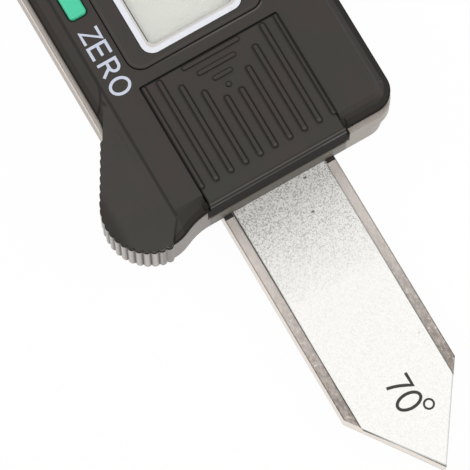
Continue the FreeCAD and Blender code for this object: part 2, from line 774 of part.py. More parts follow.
def plate_screw_lines():
    """The middles of the two rails."""
    return (-guide - d.rail_width_left / 2, rail_inner + d.rail_width_right / 2)


def make_back_plate():
    """The plate that closes the guide, with its countersunk holes and the rod's rivet hole."""
    body = new_body("back_plate")
    half = d.plate_half_width
    slab(body, "plate_outline", round_corners(-plate_end, -half, plate_end, half, d.plate_corner),
         0.0, z_plate)
    places = [(x, y) for x in (plate_screw_x, -plate_screw_x)
              for y in plate_screw_lines()]
    drill(body, "plate_holes", places, d.plate_screw_radius, 0.0, z_plate)
    drill(body, "plate_sinks", places, d.plate_screw_head, 0.0, d.head_recess)
    drill(body, "rivet_hole", [(rivet_x(), 0)], d.rivet_radius, 0.0, z_plate)


def rivet_x():
    return head_end - d.rod_start - d.rod_rivet_inset


def make_plate_screws():
    screws = []
    for x in (plate_screw_x, -plate_screw_x):
        for y in plate_screw_lines():
            head = cylinder("plate_screw_head", d.plate_screw_head, d.head_recess, x, y, 0.0)
            shank = cylinder("plate_screw_shank", d.plate_screw_radius, d.plate_screw_length, x, y, 0.0)
            slot = block("plate_screw_slot", 2 * d.plate_screw_head, d.plate_screw_radius / 2,
                         d.head_recess / 2, x - d.plate_screw_head, y - d.plate_screw_radius / 4, 0.0)
            screws.append(cut("plate_screw", fuse("plate_screw_blank", head, shank), slot))
    group("back_plate_screws", screws)


def make_rod():
    """The measuring rod, riveted to the back plate and level with the nose at zero."""
    body = new_body("depth_rod")
    half = d.rod_width / 2
    fixed_end = head_end - d.rod_start
    shoulder = nose_tip + half / tangent(d.nose_angle / 2)
    slab(body, "rod_outline",
         [(shoulder, -half), (fixed_end, -half), (fixed_end, half), (shoulder, half), (nose_tip, 0)],
         z_plate, z_plate + d.rod_thickness)
    drill(body, "rod_hole", [(rivet_x(), 0)], d.rivet_radius, z_plate, z_plate + d.rod_thickness)
    rivet = cylinder("rivet_shank", d.rivet_radius, z_plate + d.rod_thickness, rivet_x(), 0.0, 0.0)
    keep(rivet, "rod_rivet")


def make_gib():
    """The gib strip between the beam and the far rail, and the screws that press on it."""
    body = new_body("gib_strip")
    half = head_end - d.gib_inset
    slab(body, "gib_outline", box_corners(-half, guide, half, gib_outer), z_beam, z_beam_top)
    screws = []
    for x in (gib_screw_x, -gib_screw_x):
        shank = cylinder("gib_screw_shank", d.gib_screw_radius, rail_outer - gib_outer, x, rail_outer,
                         lock_level, across=True)
        slot = block("gib_screw_slot", d.gib_screw_radius * 2, d.gib_screw_radius / 2,
                     d.gib_screw_radius / 2, x - d.gib_screw_radius,
                     rail_outer - d.gib_screw_radius / 2, lock_level - d.gib_screw_radius / 4)
        screws.append(cut("gib_screw", shank, slot))
    group("gib_screws", screws)


def make_lock_screw():
    """The knurled screw that clamps the gib strip."""
    body = new_body("lock_screw")
    start = d.frame_right_low + d.lock_head_gap
    core = d.lock_head_radius - d.lock_knurl_radius / 2
    pegs(body, "lock_shank", [(0, lock_level)], d.lock_radius, -start, -gib_outer - d.side_gap,
         plane="XZ_Plane")
    pegs(body, "lock_core", [(0, lock_level)], core, -start - d.lock_head_width, -start,
         plane="XZ_Plane")
    sketch = new_sketch(body, "lock_knurl", "XZ_Plane", -start - d.lock_head_width)
    bind(sketch, "AttachmentOffset.Base.y", lock_level)
    circle(sketch, 0, d.lock_head_radius - d.lock_knurl_radius, d.lock_knurl_radius)
    knurl = pad(body, sketch, d.lock_head_width)
    ring = body.newObject("PartDesign::PolarPattern", "lock_knurl_ring")
    ring.Originals = [knurl]
    ring.Axis = (sketch, ["N_Axis"])
    ring.Mode = "Spacing"
    ring.setExpression("Offset", f"360 / {d.lock_knurls.text}")
    ring.Occurrences = int(d.lock_knurls.number)
    body.Tip = ring


def make_housing():
    """The moulded shell: bevelled cap, thumb pad, battery box, posts and openings."""
    body = new_body("front_housing")
    end = head_end - d.cap_inset
    left, right, r = -d.cap_left, d.cap_right, d.frame_corner
    bend = flank_start(left, d.flank_fillet, d.fit_gap)
    low = bend[1][1]
    base = slab(body, "cap_outline", bend + [
        (end - r, low), (end, low + r, r, "left"), (end, right - r), (end - r, right, r, "left"),
        (-end + r, right), (-end, right - r, r, "left"), (-end, left + r),
        (-end + r, left, r, "left"),
    ], z_rim, z_top)
    dress(body, "Chamfer", base, d.cap_chamfer, lambda edge: lies_at(edge, z_top))
    union = body.newObject("PartDesign::Boolean", "thumb_union")
    union.Type = "Fuse"
    union.Group = [make_thumb_pad(), make_thumb_corner()]
    body.Tip = union
    add_inside(body)
    cut_openings(body)


def make_thumb_pad():
    """The moulded half of the thumb rest: knurled round its edge, sloped from its crease."""
    pad_body = doc.addObject("PartDesign::Body", "thumb_half")
    crease = -d.pad_crease
    slab(pad_body, "pad_outline", flank_start(crease, d.pad_fillet) + [
        (turn_x, turn_y), (thumb_x + thumb_body, thumb_y, thumb_body, "left"),
        (head_end - d.pad_end, crease),
    ], z_rim, z_top)
    add_knurls(pad_body, z_rim, z_top)
    slope_thumb_pad(pad_body)
    return pad_body


def make_thumb_corner():
    """The bevelled corner between the thumb pad and the battery cover, along the hollow."""
    corner = doc.addObject("PartDesign::Body", "thumb_corner")
    end = head_end - d.fit_gap
    crease = -d.pad_crease
    inner_x, inner_y = end - d.frame_corner, -d.cover_left + d.tongue_width
    edge_x = thumb_x + thumb_body
    base = slab(corner, "corner_outline", [(inner_x, thumb_y), (edge_x, thumb_y)] + hollow_end(end)
                + [(end, inner_y), (inner_x, inner_y)], z_rim, z_top)
    dress(corner, "Chamfer", base, d.cap_chamfer,
          lambda edge: lies_at(edge, z_top) and edge.BoundBox.XMin > end.number - TINY)
    knee_x = head_end - d.pad_end
    past_x, past_y = 2 * edge_x - knee_x, 2 * thumb_y - crease
    hollow(corner, "pad_room", [(inner_x, past_y), (past_x, past_y), (knee_x, crease),
                                (inner_x, crease)], z_rim, z_top)
    return corner


def slope_thumb_pad(body):
    """The thumb pad slopes down from its crease to its knurled edge."""
    crease = -d.pad_crease
    far = -d.thumb_out - 2 * d.thumb_radius
    fall = (crease - far) * tangent(d.pad_slope)
    above = z_top + d.cap_height
    hollow(body, "pad_slope", [(crease, z_top), (crease, above), (far, above), (far, z_top - fall)],
           head_end - d.pad_start, head_end + d.thumb_radius, plane="YZ_Plane")


def add_inside(body):
    """Cavity, lip, battery box and posts inside the shell."""
    gap, wall = d.fit_gap, d.lip_wall
    inner = (-tray_end + gap, tray_left + gap, tray_end - gap, tray_right - gap)
    cavity_end = cover_back - gap - wall
    hollow(body, "cavity",
           box_corners(inner[0] + wall, inner[1] + wall, cavity_end, inner[3] - wall),
           z_rim, z_ceiling)
    lip = new_sketch(body, "lip", lift=z_rim)
    outline(lip, round_corners(*inner, d.tray_corner))
    outline(lip, box_corners(inner[0] + wall, inner[1] + wall, inner[2] - wall, inner[3] - wall))
    pad(body, lip, d.lip_depth, down=True)
    slab(body, "battery_box",
         box_corners(box_back, -d.box_half_width, tray_end - gap, d.box_half_width), z_floor, z_rim)
    pegs(body, "corner_posts", corner_posts, d.post_radius, z_floor, z_ceiling)
    pegs(body, "board_posts", board_posts, d.post_radius, z_board_top, z_ceiling)


def cut_openings(body):
    """Battery bay, display, buttons and screw holes."""
    gap = d.fit_gap
    outer = head_end + d.cap_wall
    hollow(body, "bay", box_corners(cover_back - gap, -d.cover_left - gap, outer, d.cover_right + gap),
           z_cover - gap, z_top + gap)
    tongue = d.tongue_width + gap
    hollow(body, "tongue_grooves",
           box_corners(cover_back - gap, -d.cover_left - tongue, outer, d.cover_right + tongue),
           z_cover - gap, z_cover + d.tongue_thickness + gap)
    wall_back = head_end - d.cover_wall - gap
    hollow(body, "end_gap",
           box_corners(wall_back, -d.cover_left - gap, outer, d.cover_right + gap),
           z_floor - gap, z_top + gap)
    drill(body, "cell_well", [(battery_x, 0)], d.battery_radius + d.battery_gap, z_box, z_top)
    contact_slots(body)
    seam, half = d.seam, d.rim_width
    hollow(body, "bezel_seat",
           round_corners(bezel_back - seam, -d.bezel_left - seam, bezel_end + seam,
                         d.bezel_right + seam, d.bezel_corner),
           z_top - d.bezel_thickness, z_top + seam)
    ledge = half + d.lens_ledge
    hollow(body, "glass_opening",
           box_corners(window_back + ledge, window_left + ledge, window_end - ledge,
                       window_right - ledge),
           z_ceiling - gap, z_top)
    holes = new_sketch(body, "button_holes", lift=z_ceiling - gap)
    for middle in button_middles:
        outline(holes, button_outline(middle, gap))
    pocket(body, holes, d.cap_wall + 2 * gap)
    drill(body, "corner_pilots", corner_posts, d.housing_screw_radius, z_floor,
          z_floor + d.housing_screw_length)
    drill(body, "board_pilots", board_posts, d.board_screw_radius, z_board_top,
          z_board_top + d.board_screw_length)


def contact_slots(body):
    """Slots in the back wall of the battery box for the two contact springs."""
    gap = d.fit_gap
    half = d.contact_width / 2 + gap
    for name, line, high in (("minus_slot", -d.minus_line, z_battery + gap),
                             ("plus_slot", d.plus_line, plus_top + gap)):
        hollow(body, name, box_corners(box_back - gap, line - half, battery_x, line + half),
               z_box, high)


def make_cover():
    """The battery cover: ribbed plate, end wall and side tongues."""
    body = new_body("battery_cover")
    gap = d.fit_gap
    end = head_end - gap
    left, right = -d.cover_left, d.cover_right
    wall_low = z_step + gap
    foot, foot_top = d.cover_foot, z_rim - gap
    profile = round_corners(left - foot, wall_low, right + foot, z_top, d.cover_corner)
    slab(body, "cover_wall", profile[:2] + [
        (right + foot, foot_top), (right, foot_top), (right, z_top), (left, z_top),
        (left, foot_top), (left - foot, foot_top),
    ] + profile[-2:], end - d.cover_wall, end, plane="YZ_Plane")
    plate = slab(body, "cover_plate", box_corners(cover_back, left, end, right), z_cover, z_top)
    dress(body, "Fillet", plate, d.cover_edge,
          lambda edge: lies_at(edge, z_top) and abs(edge.BoundBox.XMin - end.number) < TINY)
    slab(body, "tongues",
         box_corners(cover_back, left - d.tongue_width, end - d.cover_wall - gap,
                     right + d.tongue_width),
         z_cover, z_cover + d.tongue_thickness)
    add_ribs(body)


def add_ribs(body):
    """Raised ribs and bars that make an arrow towards the end of the head."""
    sketch = new_sketch(body, "ribs", lift=z_top)
    half = d.rib_width / 2
    end = head_end - d.rib_end
    back = cover_back
    for pair in range(RIB_PAIRS):
        start = head_end - d.rib_start - d.rib_step * pair
        if start.number < back.number or pair == RIB_PAIRS - 1:
            start = back
        for side in (-1, 1):
            outline(sketch, stadium(start, end, side * (pair + 0.5) * d.rib_pitch, half))
    for index in range(BARS):
        length = d.bar_length - d.bar_step * index
        x = head_end - d.bar_first + d.bar_pitch * index
        outline(sketch, stadium_across(x, -length / 2, length / 2, half))
    circle(sketch, head_end - d.bar_first + d.bar_pitch * BARS, 0, d.dot_radius)
    ribs = pad(body, sketch, d.rib_height)
    top = z_top + d.rib_height
    dress(body, "Chamfer", ribs, d.rib_edge, lambda edge: lies_at(edge, top))


def make_display():
    """Panel, rim, window, glass and the rubber strips under the glass."""
    low = z_top - d.bezel_thickness
    panel = new_body("display_bezel")
    slab(panel, "bezel_outline",
         round_corners(bezel_back, -d.bezel_left, bezel_end, d.bezel_right,
                       d.bezel_corner), low, z_top)
    window = (window_back, window_left, window_end, window_right)
    seam = d.seam
    hollow(panel, "bezel_window",
           round_corners(window[0] - seam, window[1] - seam, window[2] + seam, window[3] + seam,
                         d.window_corner + seam), low, z_top)
    rim = new_body("display_trim")
    rim_top = z_top + d.rim_proud
    slab(rim, "rim_outline", round_corners(*window, d.window_corner), low, rim_top)
    inset = d.rim_width
    opening = (window[0] + inset, window[1] + inset, window[2] - inset, window[3] - inset)
    hollow(rim, "rim_window", round_corners(*opening, d.window_corner - inset / 2), low, rim_top)
    lens = new_body("display_lens")
    slab(lens, "lens_outline",
         round_corners(opening[0] + seam, opening[1] + seam, opening[2] - seam, opening[3] - seam,
                       d.window_corner - inset / 2), low, z_top - d.lens_sink)
    margin = d.glass_margin
    glass = new_body("lcd_glass")
    slab(glass, "glass_outline",
         box_corners(window[0] - margin, window[1] - margin, window[2] + margin, window[3] + margin),
         z_glass, z_ceiling)
    middle_x = (window[0] + window[2]) / 2
    middle_y = (window[1] + window[3]) / 2
    zebra_length = window[2] - window[0] - 2 * d.zebra_inset
    strips = [block("zebra_strip", zebra_length, d.zebra_width, z_glass - z_board_top,
                    middle_x - zebra_length / 2,
                    middle_y + side * d.zebra_spread - d.zebra_width / 2, z_board_top)
              for side in (-1, 1)]
    group("zebra_connectors", strips)


def button_outline(middle, margin):
    """A button's outline, or that of its flange or hole, wider by a margin."""
    half, line = d.button_width / 2 + margin, -d.button_line
    reach = d.button_length / 2 + margin
    return round_corners(middle - reach, line - half, middle + reach, line + half,
                         d.button_corner + margin)


def make_buttons():
    """Three push buttons, each held in by its flange, and the domes that they press."""
    domes = []
    for name, middle in zip(button_names, button_middles):
        body = new_body(name)
        flange_top = z_ceiling - d.fit_gap
        flange_low = flange_top - d.flange_thickness
        cap = slab(body, name + "_cap", button_outline(middle, 0.0), flange_low,
                   z_top + d.button_proud)
        dress(body, "Fillet", cap, d.button_edge,
              lambda edge: lies_at(edge, z_top + d.button_proud))
        slab(body, name + "_flange", button_outline(middle, d.flange_width), flange_low, flange_top)
        dome_top = z_board_top + d.dome_height
        pegs(body, name + "_stem", [(middle, -d.button_line)], d.stem_radius,
             dome_top + d.button_travel + d.fit_gap, flange_low)
        low = d.dome_radius
        domes.append(cone("contact_dome", low, low / 2, d.dome_height, middle, -d.button_line,
                          z_board_top))
    group("contact_domes", domes)


def make_board():
    """The circuit board and what is soldered to it."""
    body = new_body("circuit_board")
    slab(body, "board_outline",
         box_corners(board_left_end, -d.board_left, board_right_end, d.board_right),
         z_board, z_board_top)
    drill(body, "board_holes", board_posts, d.board_screw_radius, z_board, z_board_top)
    chip_x = (board_left_end + board_right_end) / 2
    chip = new_body("sensor_chip")
    dome = pegs(chip, "chip_round", [(chip_x, 0)], d.chip_radius, z_board_top,
                z_board_top + d.chip_height)
    dress(chip, "Chamfer", dome, d.chip_edge,
          lambda edge: lies_at(edge, z_board_top + d.chip_height))
    parts = [block("capacitor", d.capacitor_length, d.capacitor_width, d.capacitor_height,
                   chip_x + d.capacitor_first + d.capacitor_pitch * index,
                   d.capacitor_width * (index - CAPACITORS / 2), z_board_top)
             for index in range(CAPACITORS)]
    group("capacitors", parts)
    screws = []
    for x, y in board_posts:
        low = z_frame + d.fit_gap / 2
        head = cylinder("board_screw_head", d.board_screw_head, z_board - low, x, y, low)
        shank = cylinder("board_screw_shank", d.board_screw_radius,
                         z_board_top + d.board_screw_length - low, x, y, low)
        screws.append(fuse("board_screw", head, shank))
    group("board_screws", screws)


def make_housing_screws():
    screws = []
    for x, y in corner_posts:
        head = cylinder("housing_screw_head", d.housing_screw_head, d.head_recess, x, y, z_frame)
        shank = cylinder("housing_screw_shank", d.housing_screw_radius,
                         d.floor_thickness + d.housing_screw_length, x, y, z_frame)
        slot = block("housing_screw_slot", 2 * d.housing_screw_head, d.housing_screw_radius / 2,
                     d.head_recess / 2, x - d.housing_screw_head, y - d.housing_screw_radius / 4,
                     z_frame)
        screws.append(cut("housing_screw", fuse("housing_screw_blank", head, shank), slot))
    group("housing_screws", screws)


def make_battery():
    """The button cell and its two contact springs."""
    body = new_body("battery_cell")
    cell = pegs(body, "cell_can", [(battery_x, 0)], d.battery_radius, z_battery,
                z_battery + d.battery_height)
    dress(body, "Chamfer", cell, d.battery_edge,
          lambda edge: lies_at(edge, z_battery) or lies_at(edge, z_battery + d.battery_height))
    thick = d.contact_thickness
    board_end = board_right_end - d.contact_width
    minus = new_body("battery_contact_minus")
    slab(minus, "minus_profile", [
        (board_end, z_board_top), (box_back - thick, z_board_top), (box_back - thick, z_box),
        (battery_x, z_box), (battery_x, z_battery), (box_back - 2 * thick, z_battery),
        (box_back - 2 * thick, z_board_top + thick), (board_end, z_board_top + thick),
    ], d.minus_line - d.contact_width / 2, d.minus_line + d.contact_width / 2, plane="XZ_Plane")
    plus = new_body("battery_contact_plus")
    leaf = battery_x - d.battery_radius - d.battery_gap
    slab(plus, "plus_profile", [
        (board_end, z_board_top), (box_back - thick, z_board_top), (box_back - thick, z_box),
        (leaf, z_box), (leaf, plus_top), (leaf - thick, plus_top), (leaf - thick, z_battery),
        (box_back - 2 * thick, z_battery),
        (box_back - 2 * thick, z_board_top + thick), (board_end, z_board_top + thick),
    ], -d.plus_line - d.contact_width / 2, -d.plus_line + d.contact_width / 2, plane="XZ_Plane")


def check_and_write():
    """Stop on any failed object, then write each piece to its file."""
    doc.recompute()
    for item in doc.Objects:
        if "Invalid" in item.State or "Error" in item.State:
            raise RuntimeError(f"{item.Name} failed: {item.State}")
    os.makedirs("parts", exist_ok=True)
    for item in nodes:
        if item.Shape.isNull() or not item.Shape.isValid():
            raise RuntimeError(f"{item.Label} has a bad shape")
        item.Shape.exportStep(f"parts/{item.Label}.step")
        print(f"{item.Label}: {len(item.Shape.Solids)} solid, {item.Shape.Volume:.1f} mm3")


make_beam()
make_strip()
make_rod()
make_back_plate()
make_plate_screws()
make_gib()
make_lock_screw()
make_frame()
make_housing()
make_housing_screws()
make_board()
make_display()
make_buttons()
make_battery()
make_cover()
check_and_write()
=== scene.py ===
"""Looks of a digital weld gauge, laid out as an add-on and run as a script.

Lengths are in metres. X runs along the beam towards its 70 degree point, Y across the head,
Z out of the display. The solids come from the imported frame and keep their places.
"""

import math

import bmesh
import bpy
from mathutils import Matrix, Vector


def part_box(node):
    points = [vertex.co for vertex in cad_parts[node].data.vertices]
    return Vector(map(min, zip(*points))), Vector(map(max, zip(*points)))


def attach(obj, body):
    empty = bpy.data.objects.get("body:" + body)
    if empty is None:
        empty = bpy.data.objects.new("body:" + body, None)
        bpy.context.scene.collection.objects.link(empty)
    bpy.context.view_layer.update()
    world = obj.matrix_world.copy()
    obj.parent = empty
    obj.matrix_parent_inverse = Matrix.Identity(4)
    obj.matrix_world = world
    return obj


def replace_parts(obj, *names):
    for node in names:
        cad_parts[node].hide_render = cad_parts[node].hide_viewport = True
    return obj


bl_info = {
    "name": "Weld gauge looks",
    "version": (1, 0, 0),
    "blender": (4, 5, 0),
    "location": "View3D > Sidebar > Weld gauge",
    "description": "Finishes, words and studio for a digital weld gauge",
    "category": "Object",
}

MM = 0.001
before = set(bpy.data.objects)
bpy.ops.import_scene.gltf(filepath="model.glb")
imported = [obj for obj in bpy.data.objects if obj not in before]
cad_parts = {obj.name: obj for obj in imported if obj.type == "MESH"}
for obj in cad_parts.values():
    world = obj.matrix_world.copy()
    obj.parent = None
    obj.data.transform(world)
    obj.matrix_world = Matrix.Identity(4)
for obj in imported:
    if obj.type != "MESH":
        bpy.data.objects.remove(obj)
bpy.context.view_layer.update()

# Names in capitals below hold millimetres unless they end in TOP or are TIP, which are metres.


def top_of(node):
    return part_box(node)[1][2]


def flat_box(node, inset=0.0):
    """Low and high corner of a node in millimetres, moved in by the inset."""
    return [[part / MM + side * inset for part in corner]
            for side, corner in zip((1, -1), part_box(node))]


HOUSING_TOP = 13.9 * MM
LABEL_TOP = top_of("scale_label")
BEAM_TOP = top_of("gauge_beam")
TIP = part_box("gauge_beam")[1][0]
HEAD_END = 40.0
# The crease beside the words: its Y, the X of its end and where the pad under it starts.
CREASE, CREASE_END, PAD_START = -13.9, 38.8, 22.5
# The bend at the start of the crease, drawn as a painted shade line: centre and radius.
BEND = (18.5, -18.9, 5.0)
# The thumb rest: centre, radius to the tops of the knurls and the slope of its flank in degrees.
THUMB = (35.5, -15.95, 6.15, 30.7)
# The cover's ribs: pitch, half width and end; then the middle pair's start, how much sooner each
# next pair starts, and the start of the outer pairs.
RIB_PITCH, RIB_HALF, RIB_END = 2.1, 0.34, 37.4
RIB_STARTS = (28.6, 1.95, 22.5)
COVER = ((22.5, -9.7), (40.5, 9.6))
# Ends of the cover's tongues: their back, heights and gap to the housing's bevel, which slopes at
# 45 degrees; then for each side its low and high Y and where that bevel starts.
TONGUE_BACK, TONGUE_LOW, TONGUE_HIGH, TONGUE_GAP = 38.15, 12.32, 12.88, 0.05
TONGUE_SIDES = ((-10.34, -9.75, 38.0), (9.66, 10.24, 37.4))
# Dark blocks at the end of the frame that stand for the shadow in the gap over the beam's margins:
# outline in X and Z, low and high Y of each, and their bevel.
GAP_SHADOW_OUTLINE = ((40.02, 4.64), (40.45, 4.64), (40.45, 4.74), (40.02, 4.8))
GAP_SHADOW_SIDES = ((-7.92, -6.78), (6.78, 7.92))
GAP_SHADOW_EDGE = 0.03
BEAM_HALF = 8.0
FLANGE = 0.3
# The film, the X of the corners beside its point (thumb side first) and small dark specks on it:
# place, radius and depth of tone. Its corners lie further out than the flank.
FILM = flat_box("scale_label")
FILM_CORNERS = (71.95, 71.45)
FILM_FLANK = 6.0
SPECKS = (((40.65, 3.4), 0.2, 1.0), ((44.9, 2.05), 0.22, 0.9), ((43.4, -3.85), 0.2, 0.35),
          ((64.8, 5.65), 0.18, 0.25))
# Seams in the housing's top, darkened with painted shade in the gaps: corners of the rectangle,
# corner radius and half width.
PANEL = (*flat_box("display_bezel"), 2.0)
SEAM_SHADOWS = [(*COVER, 0.1, 0.13), (*PANEL, 0.05)] + [
    (*flat_box(node, FLANGE), 0.5, 0.09) for node in ("zero_button", "power_button", "unit_button")]
# Where painted shade darkens the head: past this X, past this Y on the far side, and under this
# height.
END_SHADE, SIDE_SHADE, FOOT_SHADE = 38.0, 16.1, 12.2
# Top of the painted shade that turns the cover's end wall black, and height of the step in the side
# of the frame, where a painted highlight runs.
WALL_TOP, FRAME_STEP = 13.35, 8.3


class Wire:
    """A shader socket that adds, subtracts, multiplies and divides like a number."""

    def __init__(self, paint, socket):
        self.paint = paint
        self.socket = socket

    def combine(self, operation, left, right):
        return self.paint.node("ShaderNodeMath", {"operation": operation}, {0: left, 1: right})

    def __add__(self, other):
        return self.combine("ADD", self, other)

    def __radd__(self, other):
        return self.combine("ADD", other, self)

    def __sub__(self, other):
        return self.combine("SUBTRACT", self, other)

    def __rsub__(self, other):
        return self.combine("SUBTRACT", other, self)

    def __mul__(self, other):
        return self.combine("MULTIPLY", self, other)

    def __rmul__(self, other):
        return self.combine("MULTIPLY", other, self)

    def __truediv__(self, other):
        return self.combine("DIVIDE", self, other)


class Paint:
    """One procedural material, built node by node."""

    def __init__(self, name):
        self.material = bpy.data.materials.new(name)
        self.material.use_nodes = True
        self.tree = self.material.node_tree
        self.tree.nodes.clear()

    def node(self, kind, settings=None, inputs=None, output=0):
        """Add a node with its settings and inputs, and hand out one of its outputs."""
        made = self.tree.nodes.new(kind)
        for name, value in (settings or {}).items():
            setattr(made, name, value)
        for name, value in (inputs or {}).items():
            socket = made.inputs[name]
            if isinstance(value, Wire):
                self.tree.links.new(value.socket, socket)
            else:
                socket.default_value = value
        return Wire(self, made.outputs[output])

    def place(self, scale):
        """Object coordinates, stretched; one unit is a metre before the scale."""
        where = self.node("ShaderNodeTexCoord", output="Object")
        return self.node("ShaderNodeMapping", {}, {"Vector": where, "Scale": scale})

    def spot(self):
        """Where a point of the surface is, X, Y and Z in millimetres."""
        where = self.place((1 / MM, 1 / MM, 1 / MM))
        return [self.node("ShaderNodeSeparateXYZ", {}, {"Vector": where}, output=axis)
                for axis in "XYZ"]

    def maths(self, operation, *values):
        return self.node("ShaderNodeMath", {"operation": operation}, dict(enumerate(values)))

    def over(self, value, limit, soft=0.04):
        """One where the value is above the limit, with a soft step."""
        return self.ramp(value, 0.0, 1.0, limit - soft, limit + soft)

    def under(self, value, limit, soft=0.04):
        return self.ramp(value, 1.0, 0.0, limit - soft, limit + soft)

    def band(self, value, middle, half, soft):
        """One within half of the middle, fading to nothing over the soft width."""
        away = self.maths("ABSOLUTE", value - middle)
        return self.ramp(away, 1.0, 0.0, half, half + soft)

    def reach(self, x, y):
        return self.maths("SQRT", x * x + y * y)

    def from_box(self, x, y, low, high, corner):
        """Distance outside a rounded rectangle, negative inside near its border."""
        sides = []
        for value, start, end in ((x, low[0], high[0]), (y, low[1], high[1])):
            away = self.maths("ABSOLUTE", value - (start + end) / 2)
            sides.append(away - ((end - start) / 2 - corner))
        outer = self.reach(*[self.maths("MAXIMUM", side, 0.0) for side in sides])
        inner = self.maths("MINIMUM", self.maths("MAXIMUM", *sides), 0.0)
        return outer + inner - corner

    def noise(self, size, detail=3.0, rough=0.55, stretch=(1, 1, 1)):
        """Noise whose features are about the given size in millimetres."""
        scale = tuple(1.0 / (size * MM) * part for part in stretch)
        return self.node("ShaderNodeTexNoise", {"noise_dimensions": "3D"}, {
            "Vector": self.place(scale), "Scale": 1.0, "Detail": detail, "Roughness": rough})

    def grains(self, size, output="Distance"):
        """Cells about the given size in millimetres, by distance or by colour."""
        scale = 1.0 / (size * MM)
        return self.node("ShaderNodeTexVoronoi", {}, {
            "Vector": self.place((scale, scale, scale)), "Scale": 1.0}, output=output)

    def ramp(self, factor, low, high, start=0.0, end=1.0):
        """A number that runs from low to high while the factor goes from start to end."""
        return self.node("ShaderNodeMapRange", {"clamp": True}, {
            "Value": factor, "From Min": start, "From Max": end, "To Min": low, "To Max": high})

    def blend(self, factor, first, second, mode="MIX"):
        return self.node("ShaderNodeMix", {"data_type": "RGBA", "blend_type": mode}, {
            0: factor, 6: first, 7: second}, output=2)

    def bump(self, height, depth, strength=1.0, normal=None):
        inputs = {"Height": height, "Distance": depth * MM, "Strength": strength}
        if normal:
            inputs["Normal"] = normal
        return self.node("ShaderNodeBump", {}, inputs)

    def edge(self, radius):
        """Normals that round the edges by a radius in millimetres."""
        return self.node("ShaderNodeBevel", {"samples": 6}, {"Radius": radius * MM})

    def finish(self, **sockets):
        """Close the material with a Principled shader; colours come as three or four numbers."""
        names = {
            "colour": "Base Color", "metal": "Metallic", "rough": "Roughness", "normal": "Normal",
            "coat": "Coat Weight", "specular": "Specular IOR Level", "glow": "Emission Color",
            "glow_power": "Emission Strength",
        }
        shader = self.node("ShaderNodeBsdfPrincipled", {}, {
            names[key]: value for key, value in sockets.items()})
        self.node_output(shader)
        return self.material

    def node_output(self, shader):
        target = self.tree.nodes.new("ShaderNodeOutputMaterial")
        self.tree.links.new(shader.socket, target.inputs["Surface"])


def rgb(red, green, blue):
    """Screen colour numbers from 0 to 255 as linear light."""
    def linear(value):
        value /= 255
        return value / 12.92 if value <= 0.04045 else ((value + 0.055) / 1.055) ** 2.4
    return (linear(red), linear(green), linear(blue), 1.0)


def shade(colour, factor):
    return tuple(min(1.0, part * factor) for part in colour[:3]) + (1.0,)


def moulded_plastic(name, colour, grain=0.16, rough=0.5, edge=0.12, tones=None):
    """Spark-eroded plastic: fine grain, faint green and red clouds and softened edges.

    Tones is a function that gives pairs of a mask and how much darker or paler it makes things.
    """
    paint = Paint(name)
    grain_height = paint.grains(grain) * 0.6 + paint.noise(grain * 0.6, 2.0) * 0.4
    clouds = paint.noise(5.0, 4.0)
    hue = paint.noise(7.0, 3.0, 0.6)
    fleck = paint.ramp(paint.noise(0.35, 3.0), 0.0, 1.0, 0.52, 0.75)
    green = tuple(part * change for part, change in zip(colour[:3], (0.9, 1.03, 0.97))) + (1,)
    red = tuple(part * change for part, change in zip(colour[:3], (1.1, 0.96, 1.0))) + (1,)
    base = paint.blend(paint.ramp(hue, 0.0, 1.0, 0.38, 0.62), green, red)
    base = paint.blend(paint.ramp(clouds, 0.0, 0.5, 0.35, 0.65), base, colour)
    base = paint.blend(fleck * 0.22, base, shade(colour, 1.3))
    for mask, change in (tones(paint) if tones else ()):
        base = paint.blend(mask, base, shade(colour, change))
    roughness = paint.ramp(clouds, rough - 0.05, rough + 0.06, 0.3, 0.7)
    roughness = paint.maths("MAXIMUM", roughness, paint.under(paint.spot()[2], 12.9, 0.2))
    return paint.finish(colour=base, rough=roughness, specular=0.3,
                        normal=paint.bump(grain_height, 0.012, 0.5, paint.edge(edge)))


def housing_tones(paint):
    """Painted shade in the seams round the openings, along the long crease beside the words, its
    bend and knee, on the bevels and low sides; and a painted highlight by the panel's end.
    """
    x, y, z = paint.spot()
    crease = paint.band(y, CREASE - 0.05, 0.1, 0.2) * paint.under(x, CREASE_END)
    bend = paint.reach(x - BEND[0], y - BEND[1])
    run_out_shade = (paint.band(bend, BEND[2], 0.08, 0.18) * paint.over(x, BEND[0], 0.3)
               * paint.over(y, -16.2))
    knee_shade = (paint.band((x - CREASE_END) * 0.6 + (y - CREASE) * 0.8, 0.0, 0.06, 0.14)
            * paint.over(x, CREASE_END) * paint.under(y, CREASE))
    top = paint.over(z, 13.0, 0.2)
    # Painted shade: the far bevel, the end bevels, the low sides, and dark lines along the crease,
    # its bend and its knee.
    tones = [
        (paint.over(y, SIDE_SHADE, 0.15), 0.66),
        (paint.over(x, END_SHADE, 0.1) * paint.over(y, CREASE), 0.72),
        (paint.under(z, FOOT_SHADE, 0.06), 0.4),
        (crease * top * 0.85, 0.3),
        (run_out_shade * 0.8, 0.3),
        (knee_shade * 0.7, 0.3),
    ]
    # Painted shade in the seams round the cover, the panel and the keys.
    for low, high, corner, half in SEAM_SHADOWS:
        tones.append((paint.band(paint.from_box(x, y, low, high, corner), 0.05, half, 0.07) * 0.95,
                      0.05))
    # A painted highlight along the edge beyond the panel's seam at its end.
    panel_highlight = paint.band(paint.from_box(x, y, *PANEL), 0.28, 0.05, 0.08)
    panel_end = PANEL[1][0]
    tones.append((panel_highlight * paint.over(x, panel_end - 0.2) * paint.ramp(y, 0.0, 1.0, -7.0, 2.0), 2.4))
    return tones


